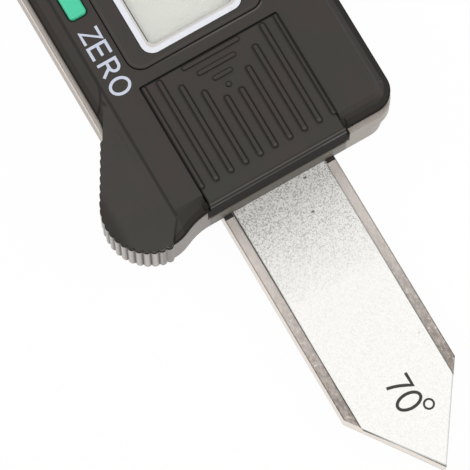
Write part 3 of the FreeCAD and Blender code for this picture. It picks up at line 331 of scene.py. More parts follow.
def cover_tones(paint):
    """Painted shadow round the ribs and in the seam, painted shade on the ribs' walls and on the
    end wall, which it makes black, and painted highlights on the ribs' ends and along the end.
    """
    x, y, z = paint.spot()
    column = paint.maths("FLOOR", paint.maths("ABSOLUTE", y) / RIB_PITCH)
    across = paint.maths("ABSOLUTE", y) - (column + 0.5) * RIB_PITCH
    side_sign = paint.maths("SIGN", y) * across
    start = paint.maths("MAXIMUM", RIB_STARTS[0] - column * RIB_STARTS[1], RIB_STARTS[2])
    short = paint.maths("MAXIMUM", start + RIB_HALF - x, x - (RIB_END - RIB_HALF))
    away = paint.reach(paint.maths("MAXIMUM", short, 0.0), across) - RIB_HALF
    flat = paint.under(z, 13.95, 0.02)
    side = paint.band(z, 14.07, 0.07, 0.05)
    right = paint.over(side_sign, 0.0, 0.1)
    glint = paint.band(x, RIB_END - 0.3, 0.12, 0.15) * paint.over(z, 14.1, 0.03)
    seam = paint.from_box(x, y, *COVER, 0.1)
    # Painted shadow beside the ribs, painted shade on their walls, a painted glint on their ends;
    # the end wall black and its turn darker with painted shade, a painted highlight along the turn,
    # and painted shade in the seam.
    return [
        (paint.band(away, 0.06, 0.05, 0.08) * flat * right * 0.9, 0.1),
        (paint.band(away, 0.06, 0.1, 0.16) * flat * (1.0 - right) * 0.6, 0.35),
        (side * 0.8, 0.3),
        (glint * 0.3, 2.6),
        (paint.under(z, WALL_TOP, 0.1), 0.22),
        (paint.band(x, 39.42, 0.05, 0.1) * 0.6, 0.4),
        (paint.under(z, 13.79, 0.03), 0.5),
        (paint.band(z, 13.85, 0.02, 0.02) * paint.over(x, 39.4) * 0.85, 2.3),
        (paint.band(seam, 0.0, 0.12, 0.06) * paint.under(x, 39.4) * 0.9, 0.06),
    ]


def panel_tones(paint):
    """The panel round the display: painted shade in its seam and a painted highlight line inside
    it.
    """
    x, y, z = paint.spot()
    edge = paint.from_box(x, y, *PANEL)
    # Painted shade in the seam, then a painted highlight line along the panel's inner bevel.
    return [(paint.band(edge, 0.0, 0.04, 0.06) * 0.9, 0.08),
            (paint.band(edge, -0.36, 0.04, 0.08) * 0.5, 1.7)]


def ground_steel(name, colour, along="X", rough=0.3, streak=0.06, edge=0.08, marks=0.5,
                 metal=1.0, tones=None):
    """Ground or drawn steel with fine streaks, small dark marks and a worn edge."""
    paint = Paint(name)
    long = 9.0
    stretch = {"X": (1 / long, 1, 1), "Y": (1, 1 / long, 1), "Z": (1, 1, 1 / long)}[along]
    lines = paint.noise(streak, 3.0, 0.6, stretch)
    broad = paint.noise(1.6, 4.0, 0.6, stretch)
    stain = paint.ramp(paint.noise(2.4, 5.0, 0.65), 0.0, 1.0, 0.55, 0.8)
    base = paint.blend(paint.ramp(lines, 0.0, 1.0, 0.35, 0.65), shade(colour, 0.88),
                       shade(colour, 1.08))
    base = paint.blend(paint.ramp(broad, 0.0, 0.5, 0.35, 0.7), base, shade(colour, 0.9))
    base = paint.blend(stain * marks, base, shade(colour, 0.6))
    for mask, change in (tones(paint) if tones else ()):
        base = paint.blend(mask, base, change, "MULTIPLY")
    roughness = paint.ramp(lines, rough - 0.06, rough + 0.1, 0.3, 0.7)
    return paint.finish(colour=base, metal=metal, rough=roughness,
                        normal=paint.bump(lines, 0.004, 0.6, paint.edge(edge)))


def frame_tones(paint):
    """Painted shade in the grooves between the knurls, on the end under the cover, on the far end
    and in the hollow beside the thumb rest; the near side is darker above its step, with a painted
    highlight along the step.
    """
    x, y, z = paint.spot()
    out_x, out_y = x - THUMB[0], y - THUMB[1]
    slope = math.radians(THUMB[3])
    down = out_x * -math.sin(slope) + out_y * -math.cos(slope)
    back = out_x * -math.cos(slope) + out_y * math.sin(slope)
    flank = paint.over(back, 0.0, 0.02)
    reach = flank * down + (1.0 - flank) * paint.reach(out_x, out_y)
    zone = paint.under(back, 7.3, 0.2) * paint.under(out_y, -1.6, 0.2)
    groove_shade = paint.ramp(reach, 1.0, 0.0, THUMB[2] - 0.2, THUMB[2]) * zone
    shade_under_cover = (paint.over(x, 39.8) * paint.under(y, 9.7, 0.1) * paint.over(y, -9.9, 0.1))
    near = paint.under(y, -12.0) * paint.under(x, THUMB[0] - 8.5, 0.3)
    far_end_shade = paint.over(x, 39.0) * paint.over(y, 9.7, 0.1)
    hollow_shade = paint.over(out_y, -1.6, 0.2) * paint.over(x, END_SHADE) * paint.under(y, -9.8, 0.2)
    # Painted shade in the knurls' grooves, under the cover, on the far end and in the hollow; on
    # the near side painted shade above the step, a painted highlight along it and a little painted
    # shade below it.
    return [(groove_shade, (0.1, 0.09, 0.08, 1)), (shade_under_cover, (0.3, 0.29, 0.26, 1)),
            (far_end_shade, (0.72, 0.7, 0.67, 1)), (hollow_shade, (0.48, 0.46, 0.45, 1)),
            (near * paint.over(z, FRAME_STEP + 0.1, 0.03), (0.62, 0.6, 0.57, 1)),
            (near * paint.band(z, FRAME_STEP, 0.04, 0.06), (1.5, 1.5, 1.48, 1)),
            (near * paint.under(z, FRAME_STEP - 0.1, 0.03), (0.9, 0.86, 0.82, 1))]


def beam_tones(paint):
    """The margins get greyer and more stained towards the point, with a dark line along their top
    edges, and the far end is darker; the sides are painted paler as lit, with a painted shade line
    at their foot.
    """
    x, y, z = paint.spot()
    far = paint.ramp(x, 0.0, 1.0, HEAD_END + 8, TIP / MM - 6)
    mottle = paint.ramp(paint.noise(0.6, 5.0, 0.8, (0.6, 1, 1)), 0.0, 1.0, 0.44, 0.58)
    bright = paint.ramp(paint.noise(0.4, 3.0, 0.7), 0.0, 1.0, 0.55, 0.64)
    top = paint.over(z, BEAM_TOP / MM - 0.15)
    border = paint.band(paint.maths("ABSOLUTE", y), BEAM_HALF - 0.06, 0.04, 0.06)
    return [(far * top, (0.5, 0.48, 0.47, 1)), (far * top * mottle, (0.5, 0.48, 0.46, 1)),
            (far * top * bright * 0.6, (2.6, 2.6, 2.5, 1)),
            (border * top * 0.7, (0.3, 0.28, 0.26, 1)),
            # The sides are painted paler as lit, with a painted shade line along their bottom edge.
            (1.0 - top, (1.22, 1.22, 1.18, 1)),
            (paint.band(z, 1.45, 0.12, 0.1) * 0.6, (0.5, 0.48, 0.46, 1)),
            (paint.under(x, -HEAD_END, 4.0), (0.72, 0.71, 0.7, 1))]


def silver_film(name, colour):
    """Printed silver film: metal flakes under a matte lacquer, greyed beside the head by painted
    shade, with painted shadow lines along its edges.
    """
    paint = Paint(name)
    x, y, z = paint.spot()
    flakes = paint.grains(0.12, output="Color")
    level = paint.node("ShaderNodeSeparateColor", {}, {"Color": flakes})
    coarse = paint.noise(0.4, 4.0, 0.75)
    # Painted shade: the film greys beside the head, and the same ramp thickens the dark flakes
    # there.
    near = paint.ramp(x + paint.noise(5.0, 2.0) * 4.0, 1.0, 0.0, HEAD_END + 2.5, HEAD_END + 17)
    base = paint.blend(near, colour, shade(colour, 0.84))
    dark_flake = paint.ramp(level, 0.0, 1.0, 0.45, 1.0)
    base = paint.blend(dark_flake * (near * 0.75 + 0.16), base, shade(colour, 0.2))
    base = paint.blend(paint.ramp(coarse, 0.0, 0.1, 0.56, 0.72) * (near + 0.25), base,
                       shade(colour, 0.4))
    for place, size, depth in SPECKS:
        away = paint.reach(x - place[0], (y - place[1]) * 0.7)
        base = paint.blend(paint.ramp(away, depth, 0.0, size * 0.4, size), base,
                           shade(colour, 0.1))
    # Painted shadow lines along the film's long edges.
    for turn, depth in ((-1, paint.ramp(x, 0.8, 0.12, 50.0, 60.0)),
                        (1, paint.ramp(x, 0.55, 0.85, 50.0, 62.0))):
        rim = paint.ramp(y * turn, 0.0, 1.0, FILM[1][1] - 0.14, FILM[1][1] - 0.04)
        base = paint.blend(rim * depth, base, shade(colour, 0.08))
    # Painted shadow lines along the edges beside the point.
    low_depth = paint.ramp(x, 1.0, 0.55, FILM_CORNERS[0] + 0.6, FILM_CORNERS[0] + 3.5)
    for corner, turn, depth in ((FILM_CORNERS[0], -1, low_depth), (FILM_CORNERS[1], 1, 0.35)):
        slope = math.atan2(FILM[1][1], TIP / MM - corner)
        edge = (x - TIP / MM) * math.sin(slope) + y * (turn * math.cos(slope))
        rim = paint.ramp(edge, 0.0, 1.0, -0.24, -0.1)
        base = paint.blend(rim * depth, base, shade(colour, 0.12))
    roughness = paint.ramp(level, 0.45, 0.62)
    return paint.finish(colour=base, metal=0.1, rough=roughness, specular=0.3,
                        normal=paint.bump(level * 0.5 + coarse * 0.5, 0.006, 0.3))


def key_plastic(name, colour):
    paint = Paint(name)
    clouds = paint.noise(2.0, 3.0)
    fine = paint.noise(0.12, 2.0)
    base = paint.blend(paint.ramp(clouds, 0.0, 1.0, 0.3, 0.7), shade(colour, 0.95),
                       shade(colour, 1.04))
    return paint.finish(colour=base, rough=paint.ramp(clouds, 0.36, 0.46, 0.3, 0.7),
                        normal=paint.bump(fine, 0.004, 0.4, paint.edge(0.15)))


def printed_ink(name, colour):
    paint = Paint(name)
    patch = paint.noise(0.25, 3.0)
    base = paint.blend(paint.ramp(patch, 0.0, 1.0, 0.35, 0.7), shade(colour, 0.92), colour)
    return paint.finish(colour=base, rough=paint.ramp(patch, 0.5, 0.65),
                        normal=paint.bump(patch, 0.003, 0.4))


def window_rim(name, colour, inner):
    """The printed rim of the window, which fades into the display's tone on its inside."""
    paint = Paint(name)
    x, y, z = paint.spot()
    low, high = flat_box("display_trim")
    edge = paint.from_box(x, y, low, high, 1.6)
    patch = paint.noise(0.6, 3.0)
    base = paint.blend(paint.ramp(patch, 0.0, 0.6, 0.3, 0.7), colour, shade(colour, 1.12))
    base = paint.blend(paint.under(edge, -0.72, 0.08), base, shade(inner, 0.86))
    return paint.finish(colour=base, rough=paint.ramp(patch, 0.35, 0.5))


def display_glass(name, colour):
    """The liquid crystal cell, blank: a pale grey green under fine polariser grain, brightened by a
    painted glow.
    """
    paint = Paint(name)
    clouds = paint.noise(9.0, 3.0)
    fine = paint.noise(0.18, 2.0)
    base = paint.blend(paint.ramp(clouds, 0.0, 1.0, 0.3, 0.7), shade(colour, 0.97),
                       shade(colour, 1.03))
    base = paint.blend(paint.ramp(fine, 0.0, 0.15, 0.4, 0.7), base, shade(colour, 0.85))
    # The emission is painted light: a glow that brightens the blank cell, which gives no light of
    # its own.
    return paint.finish(colour=base, rough=paint.ramp(fine, 0.3, 0.42), coat=0.1, glow=base,
                        glow_power=0.24)


def clear_window(name, colour):
    """Moulded window with faint wipe marks."""
    paint = Paint(name)
    wipes = paint.noise(1.5, 3.0, 0.6, (0.2, 1, 1))
    bright = paint.node("ShaderNodeBsdfPrincipled", {}, {
        "Base Color": colour, "Roughness": paint.ramp(wipes, 0.02, 0.08, 0.3, 0.7),
        "IOR": 1.49})
    through = paint.node("ShaderNodeBsdfTransparent", {}, {"Color": (0.97, 0.985, 0.975, 1)})
    rim = paint.node("ShaderNodeFresnel", {}, {"IOR": 1.49})
    paint.node_output(paint.node("ShaderNodeMixShader", {}, {0: rim, 1: through, 2: bright}))
    return paint.material


def solder_mask(name, colour):
    """Green board with copper tracks showing through its lacquer."""
    paint = Paint(name)
    scale = 1 / (1.2 * MM)
    tracks = paint.node("ShaderNodeTexBrick", {"offset": 0.37, "squash": 1.6}, {
        "Vector": paint.place((scale, scale, scale)), "Scale": 1.0, "Mortar Size": 0.12,
        "Mortar Smooth": 0.1}, output="Fac")
    weave = paint.noise(0.3, 2.0)
    base = paint.blend(tracks * 0.7, colour, shade(colour, 1.9))
    base = paint.blend(weave * 0.2, base, shade(colour, 0.6))
    return paint.finish(colour=base, rough=paint.ramp(weave, 0.25, 0.4), coat=0.4,
                        normal=paint.bump(tracks, 0.03, 0.5))


def striped_rubber(name, colour):
    """Connector rubber: thin conducting layers, side by side."""
    paint = Paint(name)
    bands = paint.node("ShaderNodeTexWave", {"wave_type": "BANDS", "bands_direction": "X"}, {
        "Vector": paint.place((1 / (2.0 * MM),) * 3), "Scale": 1.0, "Distortion": 0.0})
    fine = paint.noise(0.2, 2.0)
    level = paint.node("ShaderNodeSeparateColor", {}, {"Color": bands})
    base = paint.blend(level, shade(colour, 0.25), shade(colour, 1.4))
    return paint.finish(colour=base, rough=paint.ramp(fine, 0.7, 0.85),
                        normal=paint.bump(fine, 0.01, 0.5))


def dull_resin(name, colour, rough=0.6):
    """Dull resin or ceramic with a fine grit; also the dark blocks of painted shadow at the frame's
    end.
    """
    paint = Paint(name)
    grit = paint.noise(0.15, 4.0)
    base = paint.blend(paint.ramp(grit, 0.0, 1.0, 0.3, 0.7), shade(colour, 0.8),
                       shade(colour, 1.2))
    return paint.finish(colour=base, rough=paint.ramp(grit, rough - 0.1, rough + 0.1),
                        normal=paint.bump(grit, 0.01, 0.6, paint.edge(0.08)))


def dress(node, material):
    """Give a solid of the frame its finish."""
    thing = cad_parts[node]
    thing.data.materials.clear()
    thing.data.materials.append(material)


def settings():
    return bpy.context.scene.weld_gauge


class GaugeColours(bpy.types.PropertyGroup):
    """Colours of the gauge, as they look on the screen."""
    plastic: bpy.props.FloatVectorProperty(
        name="Housing", description="Moulded head and battery cover", subtype="COLOR",
        size=4, default=rgb(57, 53, 49), min=0, max=1)
    steel: bpy.props.FloatVectorProperty(
        name="Ground steel", description="Beam, frame and plate", subtype="COLOR",
        size=4, default=rgb(198, 190, 184), min=0, max=1)
    film: bpy.props.FloatVectorProperty(
        name="Film", description="Silver film on the beam", subtype="COLOR",
        size=4, default=rgb(250, 249, 245), min=0, max=1)
    zero_key: bpy.props.FloatVectorProperty(
        name="Zero key", description="Key that sets zero", subtype="COLOR",
        size=4, default=rgb(74, 204, 162), min=0, max=1)
    power_key: bpy.props.FloatVectorProperty(
        name="Power key", description="Key that turns the gauge on and off", subtype="COLOR",
        size=4, default=rgb(232, 120, 40), min=0, max=1)
    unit_key: bpy.props.FloatVectorProperty(
        name="Unit key", description="Key that changes the unit", subtype="COLOR",
        size=4, default=rgb(240, 196, 48), min=0, max=1)
    display: bpy.props.FloatVectorProperty(
        name="Display", description="Blank display glass", subtype="COLOR",
        size=4, default=rgb(219, 215, 211), min=0, max=1)
    trim: bpy.props.FloatVectorProperty(
        name="Window rim", description="Pale rim of the window", subtype="COLOR",
        size=4, default=rgb(224, 226, 232), min=0, max=1)
    print_white: bpy.props.FloatVectorProperty(
        name="White print", description="Words on the housing", subtype="COLOR",
        size=4, default=rgb(204, 210, 226), min=0, max=1)
    print_dark: bpy.props.FloatVectorProperty(
        name="Dark print", description="Words on the film", subtype="COLOR",
        size=4, default=rgb(48, 47, 46), min=0, max=1)


class GaugeSizes(bpy.types.PropertyGroup):
    """Sizes of the words and of the studio."""
    word_height: bpy.props.FloatProperty(
        name="Word height", description="Capitals beside the keys, between pen lines",
        default=2.45 * MM, subtype="DISTANCE", unit="LENGTH", precision=5)
    word_line: bpy.props.FloatProperty(
        name="Word line", description="Foot of the words, across the head", default=-12.9 * MM,
        subtype="DISTANCE", unit="LENGTH", precision=5)
    word_gap: bpy.props.FloatProperty(
        name="Word gap", description="Key to the word after it", default=1.75 * MM,
        subtype="DISTANCE", unit="LENGTH", precision=5)
    stroke: bpy.props.FloatProperty(
        name="Stroke", description="Width of the letters' strokes", default=0.38 * MM,
        subtype="DISTANCE", unit="LENGTH", precision=6)
    ink: bpy.props.FloatProperty(
        name="Ink", description="Thickness of the print", default=0.02 * MM,
        subtype="DISTANCE", unit="LENGTH", precision=6)
    camera_distance: bpy.props.FloatProperty(
        name="Camera distance", description="Camera to what it looks at", default=0.5,
        subtype="DISTANCE", unit="LENGTH")
    camera_azimuth: bpy.props.FloatProperty(
        name="Camera azimuth", description="Direction of the camera round Z",
        default=math.radians(-30.13), subtype="ANGLE", unit="ROTATION")
    camera_elevation: bpy.props.FloatProperty(
        name="Camera elevation", description="Camera above the table",
        default=math.radians(77.0), subtype="ANGLE", unit="ROTATION")
    camera_lens: bpy.props.FloatProperty(
        name="Lens", description="Focal length for a 36 mm sensor", default=307.1,
        unit="CAMERA", min=1, max=1000)


class GaugeSettings(bpy.types.PropertyGroup):
    colours: bpy.props.PointerProperty(type=GaugeColours)
    sizes: bpy.props.PointerProperty(type=GaugeSizes)


def bow(x, y, wide, high, start, end, steps=14):
    """Points of an elliptic arc, angles in degrees."""
    angles = [math.radians(start + (end - start) * step / steps) for step in range(steps + 1)]
    return [(x + wide * math.cos(angle), y + high * math.sin(angle)) for angle in angles]


RING = bow(0.5, 0.5, 0.5, 0.5, 90, 450, 40)
GLYPHS = {
    "Z": [[(0, 1), (1, 1), (0, 0), (1, 0)]],
    "E": [[(1, 1), (0, 1), (0, 0), (1, 0)], [(0, 0.52), (0.93, 0.52)]],
    "R": [[(0, 0), (0, 1), (0.5, 1)] + bow(0.5, 0.75, 0.4, 0.25, 90, -90) + [(0.12, 0.5)],
          [(0.38, 0.5), (0.55, 0.43), (0.66, 0.3), (1, 0)]],
    "O": [RING],
    "N": [[(0, 0), (0, 1), (1, 0), (1, 1)]],
    "F": [[(1, 1), (0, 1), (0, 0)], [(0, 0.52), (0.88, 0.52)]],
    "/": [[(0, -0.12), (1, 1.12)]],
    "m": [[(0, 0), (0, 0.7)], [(0, 0.35)] + bow(0.25, 0.45, 0.25, 0.22, 160, 0) + [(0.5, 0)],
          [(0.5, 0.35)] + bow(0.75, 0.45, 0.25, 0.22, 160, 0) + [(1, 0)]],
    "n": [[(0, 0), (0, 0.7)], [(0, 0.35)] + bow(0.5, 0.42, 0.5, 0.25, 160, 0) + [(1, 0)]],
    "i": [[(0.5, 0), (0.5, 0.7)], [(0.5, 0.88), (0.5, 1)]],
    "0": [RING],
    "6": [bow(0.5, 0.31, 0.5, 0.31, 180, 540, 30),
          [(0, 0.31)] + bow(0.82, 0.36, 0.82, 0.64, 175, 95)],
    "7": [[(0, 1), (1, 1), (0.78, 0.76), (0.6, 0.53), (0.45, 0.29), (0.33, 0)]],
    "8": [bow(0.5, 0.27, 0.5, 0.27, 90, 450, 30), bow(0.5, 0.77, 0.42, 0.23, -90, 270, 30)],
    "9": [bow(0.5, 0.69, 0.5, 0.31, 0, 360, 30),
          [(1, 0.69)] + bow(0.18, 0.64, 0.82, 0.64, -5, -85)],
}


# Width of a letter as a share of its height, and the gap after it.
LETTER_WIDTH, LETTER_GAP = 0.66, 0.62
LETTER_WIDTHS = {"m": 1.05, "i": 0.2, "/": 0.5, "O": 0.8, "n": 0.62}
# Letters as drawn in the photograph: glyph, start, width, foot and height.
ZERO_LETTERS = (("Z", -0.12, 1.66, 0.08, 2.24), ("E", 2.12, 1.66, 0.02, 2.38),
                ("R", 4.62, 1.7, -0.06, 2.46), ("O", 7.1, 2.0, -0.06, 2.5))
SEVENTY_LETTERS = (("7", 0.0, 1.77, -0.03, 3.05), ("0", 2.36, 1.87, 0.0, 3.2))
SEVENTY_BACK, SEVENTY_FOOT = 12.66, -1.46
DEGREE_SIZE, DEGREE_BACK, DEGREE_FOOT = 1.24, 8.45, 1.47
# Strokes of the angles against those of the words, and of the small ring against the angles.
ANGLE_STROKE, RING_STROKE = 1.04, 0.66
# How much thicker each next stroke of a letter is, so that no two faces lie in one plane, and the
# least share to which a bend may thin its mitre.
LAYER_STEP, MITRE_LIMIT = 0.2, 0.62
# Marks on the cross plate: name, digits, start in X and Y, and turn in degrees.
MARK_HEIGHT, MARK_WIDTH, MARK_PITCH = 3.0, 1.8, 2.35
MARK_RING = ("0", 4.75, 1.1, 1.9, 1.1)
MARKS = (("angle_60", "60", (-68.5, 18.5), 90), ("angle_80", "80", (-71.5, -15.5), -90),
         ("angle_90", "90", (-80.2, 1.5), 180))


def draw_stroke(shape, points, width, level):
    """Add a ribbon of the given width along the points, mitred at the bends, with a thickness."""
    spots = [Vector(point) for point in points]
    spots = spots[:1] + [spot for before, spot in zip(spots, spots[1:])
                         if (spot - before).length > 1e-6]
    closed = (spots[0] - spots[-1]).length < 1e-6
    spots = spots[:-1] if closed else spots
    rows = []
    for index, spot in enumerate(spots):
        ahead = spots[(index + 1) % len(spots)] - spot
        behind = spot - spots[index - 1]
        if not closed and index == 0:
            behind = ahead
        if not closed and index == len(spots) - 1:
            ahead = behind
        ahead, behind = ahead.normalized(), behind.normalized()
        across = Vector((-(ahead.y + behind.y), ahead.x + behind.x)).normalized()
        reach = width / 2 / max(MITRE_LIMIT, across.dot(Vector((-ahead.y, ahead.x))))
        rows.append([shape.verts.new((*(spot + across * side * reach), 0)) for side in (1, -1)])
    pairs = list(zip(rows, rows[1:])) + ([(rows[-1], rows[0])] if closed else [])
    faces = [shape.faces.new((left, right, next_right, next_left))
             for (left, right), (next_left, next_right) in pairs]
    raised = bmesh.ops.extrude_face_region(shape, geom=faces)
    lifted = [item for item in raised["geom"] if isinstance(item, bmesh.types.BMVert)]
    bmesh.ops.translate(shape, verts=lifted, vec=(0, 0, level))


def word_mesh(name, letters, width, ink):
    """Letters drawn with a pen. Each letter is its glyph, start, width, foot and height."""
    shape = bmesh.new()
    for glyph, start, wide, foot, high in letters:
        for layer, stroke in enumerate(GLYPHS[glyph]):
            points = [(start + x * wide, foot + y * high) for x, y in stroke]
            draw_stroke(shape, points, width, ink * (1 + layer * LAYER_STEP))
    bmesh.ops.recalc_face_normals(shape, faces=shape.faces)
    bmesh.ops.scale(shape, verts=shape.verts, vec=(MM, MM, MM))
    result = bpy.data.meshes.new(name)
    shape.to_mesh(result)
    shape.free()
    return result


def spell(text, height):
    """Place letters side by side: millimetres, the foot of the first letter at the origin."""
    letters, x = [], 0.0
    for letter in text:
        size = LETTER_WIDTHS.get(letter, LETTER_WIDTH) * height
        letters.append((letter, x, size, 0.0, height))
        x += size + LETTER_GAP
    return letters


def add_piece(name, mesh, body, material):
    """Link a finished mesh as a piece that moves with a body."""
    mesh.materials.clear()
    mesh.materials.append(material)
    thing = bpy.data.objects.new(name, mesh)
    bpy.context.scene.collection.objects.link(thing)
    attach(thing, body)
    return thing


def merged_copy(node):
    """A copy of a solid of the frame with its triangles joined, to be changed."""
    shape = bmesh.new()
    shape.from_mesh(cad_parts[node].data)
    bmesh.ops.remove_doubles(shape, verts=shape.verts, dist=1e-6)
    return shape


def to_mesh(shape, name):
    """Turn the normals outwards and hand the finished shape over as a mesh."""
    bmesh.ops.recalc_face_normals(shape, faces=shape.faces)
    mesh = bpy.data.meshes.new(name)
    shape.to_mesh(mesh)
    shape.free()
    return mesh


def add_prism(shape, outline, low, high):
    """Add an outline in X and Z, in millimetres, drawn out across Y."""
    verts = [shape.verts.new((x * MM, low * MM, z * MM)) for x, z in outline]
    raised = bmesh.ops.extrude_face_region(shape, geom=[shape.faces.new(verts)])
    moved = [item for item in raised["geom"] if isinstance(item, bmesh.types.BMVert)]
    bmesh.ops.translate(shape, verts=moved, vec=(0, (high - low) * MM, 0))


def set_down(mesh, spot, turn=0.0):
    """Turn a flat mesh about Z and put its start at a place."""
    mesh.transform(Matrix.Translation(Vector(spot)) @ Matrix.Rotation(turn, 4, "Z"))
    return mesh


# What the camera looks at, in millimetres.
LOOK_AT = (42.644, -7.895, 5.0)
# The table's half width and how far it lies under the gauge, in metres.
TABLE_HALF, TABLE_DROP = 1.5, 0.0002
# The lamps, in metres and watts, and what they point at.
LAMP_TARGET = (0.03, 0, 0)
LAMP_SIZE = 0.5
LAMPS = (("light_left", (-0.25, -0.45, 0.55), 1.5), ("light_right", (0.35, 0.5, 0.6), 2.0),
         ("light_over", (0.25, -0.1, 0.8), 1.5))
WORLD_LIGHT = 0.5
# Share of the table that is plain white to the camera; the rest keeps the shadow.
TABLE_GLOW = 0.97


class GAUGE_OT_stage(bpy.types.Operator):
    """Table, soft lights, world and camera"""
    bl_idname = "gauge.stage"
    bl_label = "Stage"

    def execute(self, context):
        scene = context.scene
        sizes = settings().sizes
        scene.view_settings.view_transform = "Standard"
        self.make_table(context)
        self.make_world(scene)
        self.make_lights(context)
        data = bpy.data.cameras.new("camera")
        data.lens = sizes.camera_lens
        data.sensor_width = 36
        data.clip_start, data.clip_end = 0.01, 10
        camera = bpy.data.objects.new("camera", data)
        scene.collection.objects.link(camera)
        scene.camera = camera
        target = Vector(LOOK_AT) * MM
        azimuth, elevation = sizes.camera_azimuth, sizes.camera_elevation
        back = Vector((math.cos(elevation) * math.cos(azimuth),
                       math.cos(elevation) * math.sin(azimuth), math.sin(elevation)))
        camera.location = target + back * sizes.camera_distance
        camera.rotation_euler = back.to_track_quat("Z", "Y").to_euler()
        return {"FINISHED"}

    def make_table(self, context):
        shape = bmesh.new()
        bmesh.ops.create_grid(shape, x_segments=2, y_segments=2, size=TABLE_HALF)
        bmesh.ops.translate(shape, verts=shape.verts, vec=(0, 0, -TABLE_DROP))
        mesh = bpy.data.meshes.new("table")
        shape.to_mesh(mesh)
        shape.free()
        paint = Paint("table_white")
        matte = paint.node("ShaderNodeBsdfDiffuse", {}, {"Color": (0.82, 0.82, 0.82, 1)})
        glow = paint.node("ShaderNodeEmission", {}, {"Color": (1, 1, 1, 1), "Strength": 1.0})
        seen = paint.node("ShaderNodeLightPath", output="Is Camera Ray")
        mirrored = paint.node("ShaderNodeLightPath", output="Is Glossy Ray")
        through = paint.node("ShaderNodeLightPath", output="Is Transmission Ray")
        share = paint.maths("MAXIMUM", paint.maths("MAXIMUM", seen, mirrored), through)
        paint.node_output(paint.node("ShaderNodeMixShader", {}, {
            0: share * TABLE_GLOW, 1: matte, 2: glow}))
        mesh.materials.append(paint.material)
        table = bpy.data.objects.new("table", mesh)
        context.scene.collection.objects.link(table)

    def make_world(self, scene):
        world = bpy.data.worlds.new("studio")
        scene.world = world
        world.use_nodes = True
        background = world.node_tree.nodes["Background"]
        background.inputs["Color"].default_value = (1.0, 1.0, 1.0, 1)
        background.inputs["Strength"].default_value = WORLD_LIGHT

    def make_lights(self, context):
        for name, spot, power in LAMPS:
            data = bpy.data.lights.new(name, "AREA")
            data.shape = "SQUARE"
            data.size = LAMP_SIZE
            data.energy = power
            lamp = bpy.data.objects.new(name, data)
            context.scene.collection.objects.link(lamp)
            lamp.location = spot
            lamp.rotation_euler = (Vector(spot) - Vector(LAMP_TARGET)).to_track_quat(
                "Z", "Y").to_euler()


class GAUGE_OT_beam(bpy.types.Operator):
    """Steel beam, circuit strip, silver film and measuring rod"""
    bl_idname = "gauge.beam"
    bl_label = "Beam"

    def execute(self, context):
        colours = settings().colours
        steel = tuple(colours.steel)
        dress("gauge_beam", ground_steel("ground_beam", shade(steel, 1.3), "X", 0.36, marks=0.25,
                                         metal=0.7, tones=beam_tones))
        dress("depth_rod", ground_steel("ground_rod", shade(steel, 0.95), "X", 0.26))
        dress("scale_strip", dull_resin("circuit_edge", rgb(60, 62, 58)))
        self.make_film(silver_film("silver_film", tuple(colours.film)))
        return {"FINISHED"}

    def make_film(self, material):
        """The film, whose point is cut a little askew, longer on the thumb side."""
        shape = merged_copy("scale_label")
        corners = [vert for vert in shape.verts
                   if abs(vert.co.y) > FILM_FLANK * MM and vert.co.x > HEAD_END * MM]
        if len(corners) != 4:
            raise RuntimeError("the film has no two corners beside its point")
        for vert in corners:
            vert.co.x = FILM_CORNERS[vert.co.y > 0] * MM
        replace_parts(add_piece("film_sheet", to_mesh(shape, "film_sheet"), "beam",
                              material), "scale_label")


class GAUGE_OT_frame(bpy.types.Operator):
    """Metal frame, back plate, gib strip and screws"""
    bl_idname = "gauge.frame"
    bl_label = "Frame and hardware"

    def execute(self, context):
        steel = tuple(settings().colours.steel)
        dress("slider_frame", ground_steel("frame_steel", shade(steel, 0.92), "X", 0.4, 0.08, 0.25,
                                           0.2, 0.6, frame_tones))
        dress("back_plate", ground_steel("plate_steel", shade(steel, 0.92), "Y", 0.32))
        dress("gib_strip", ground_steel("gib_brass", rgb(206, 170, 96), "X", 0.35))
        # The dark resin here is a painted shadow that fills the gap under the frame's end.
        self.make_gap_shadows(dull_resin("gap_shadow_dark", rgb(40, 38, 36), 0.8))
        screw = ground_steel("screw_steel", shade(steel, 0.8), "Z", 0.25, 0.05)
        for node in ("back_plate_screws", "gib_screws", "housing_screws", "board_screws"):
            dress(node, screw)
        dress("rod_rivet", screw)
        dress("lock_screw", ground_steel("knurled_steel", shade(steel, 0.75), "Y", 0.28, 0.06))
        return {"FINISHED"}

    def make_gap_shadows(self, material):
        """Dark blocks at the end of the frame, over the steel margins beside the film: a painted
        shadow for the gap there.
        """
        shape = bmesh.new()
        for low, high in GAP_SHADOW_SIDES:
            add_prism(shape, GAP_SHADOW_OUTLINE, low, high)
        bmesh.ops.bevel(shape, geom=shape.edges[:], offset=GAP_SHADOW_EDGE * MM, affect="EDGES",
                        segments=2, profile=0.5, material=-1)
        add_piece("gap_shadow_tips", to_mesh(shape, "gap_shadow_tips"), "slider", material)


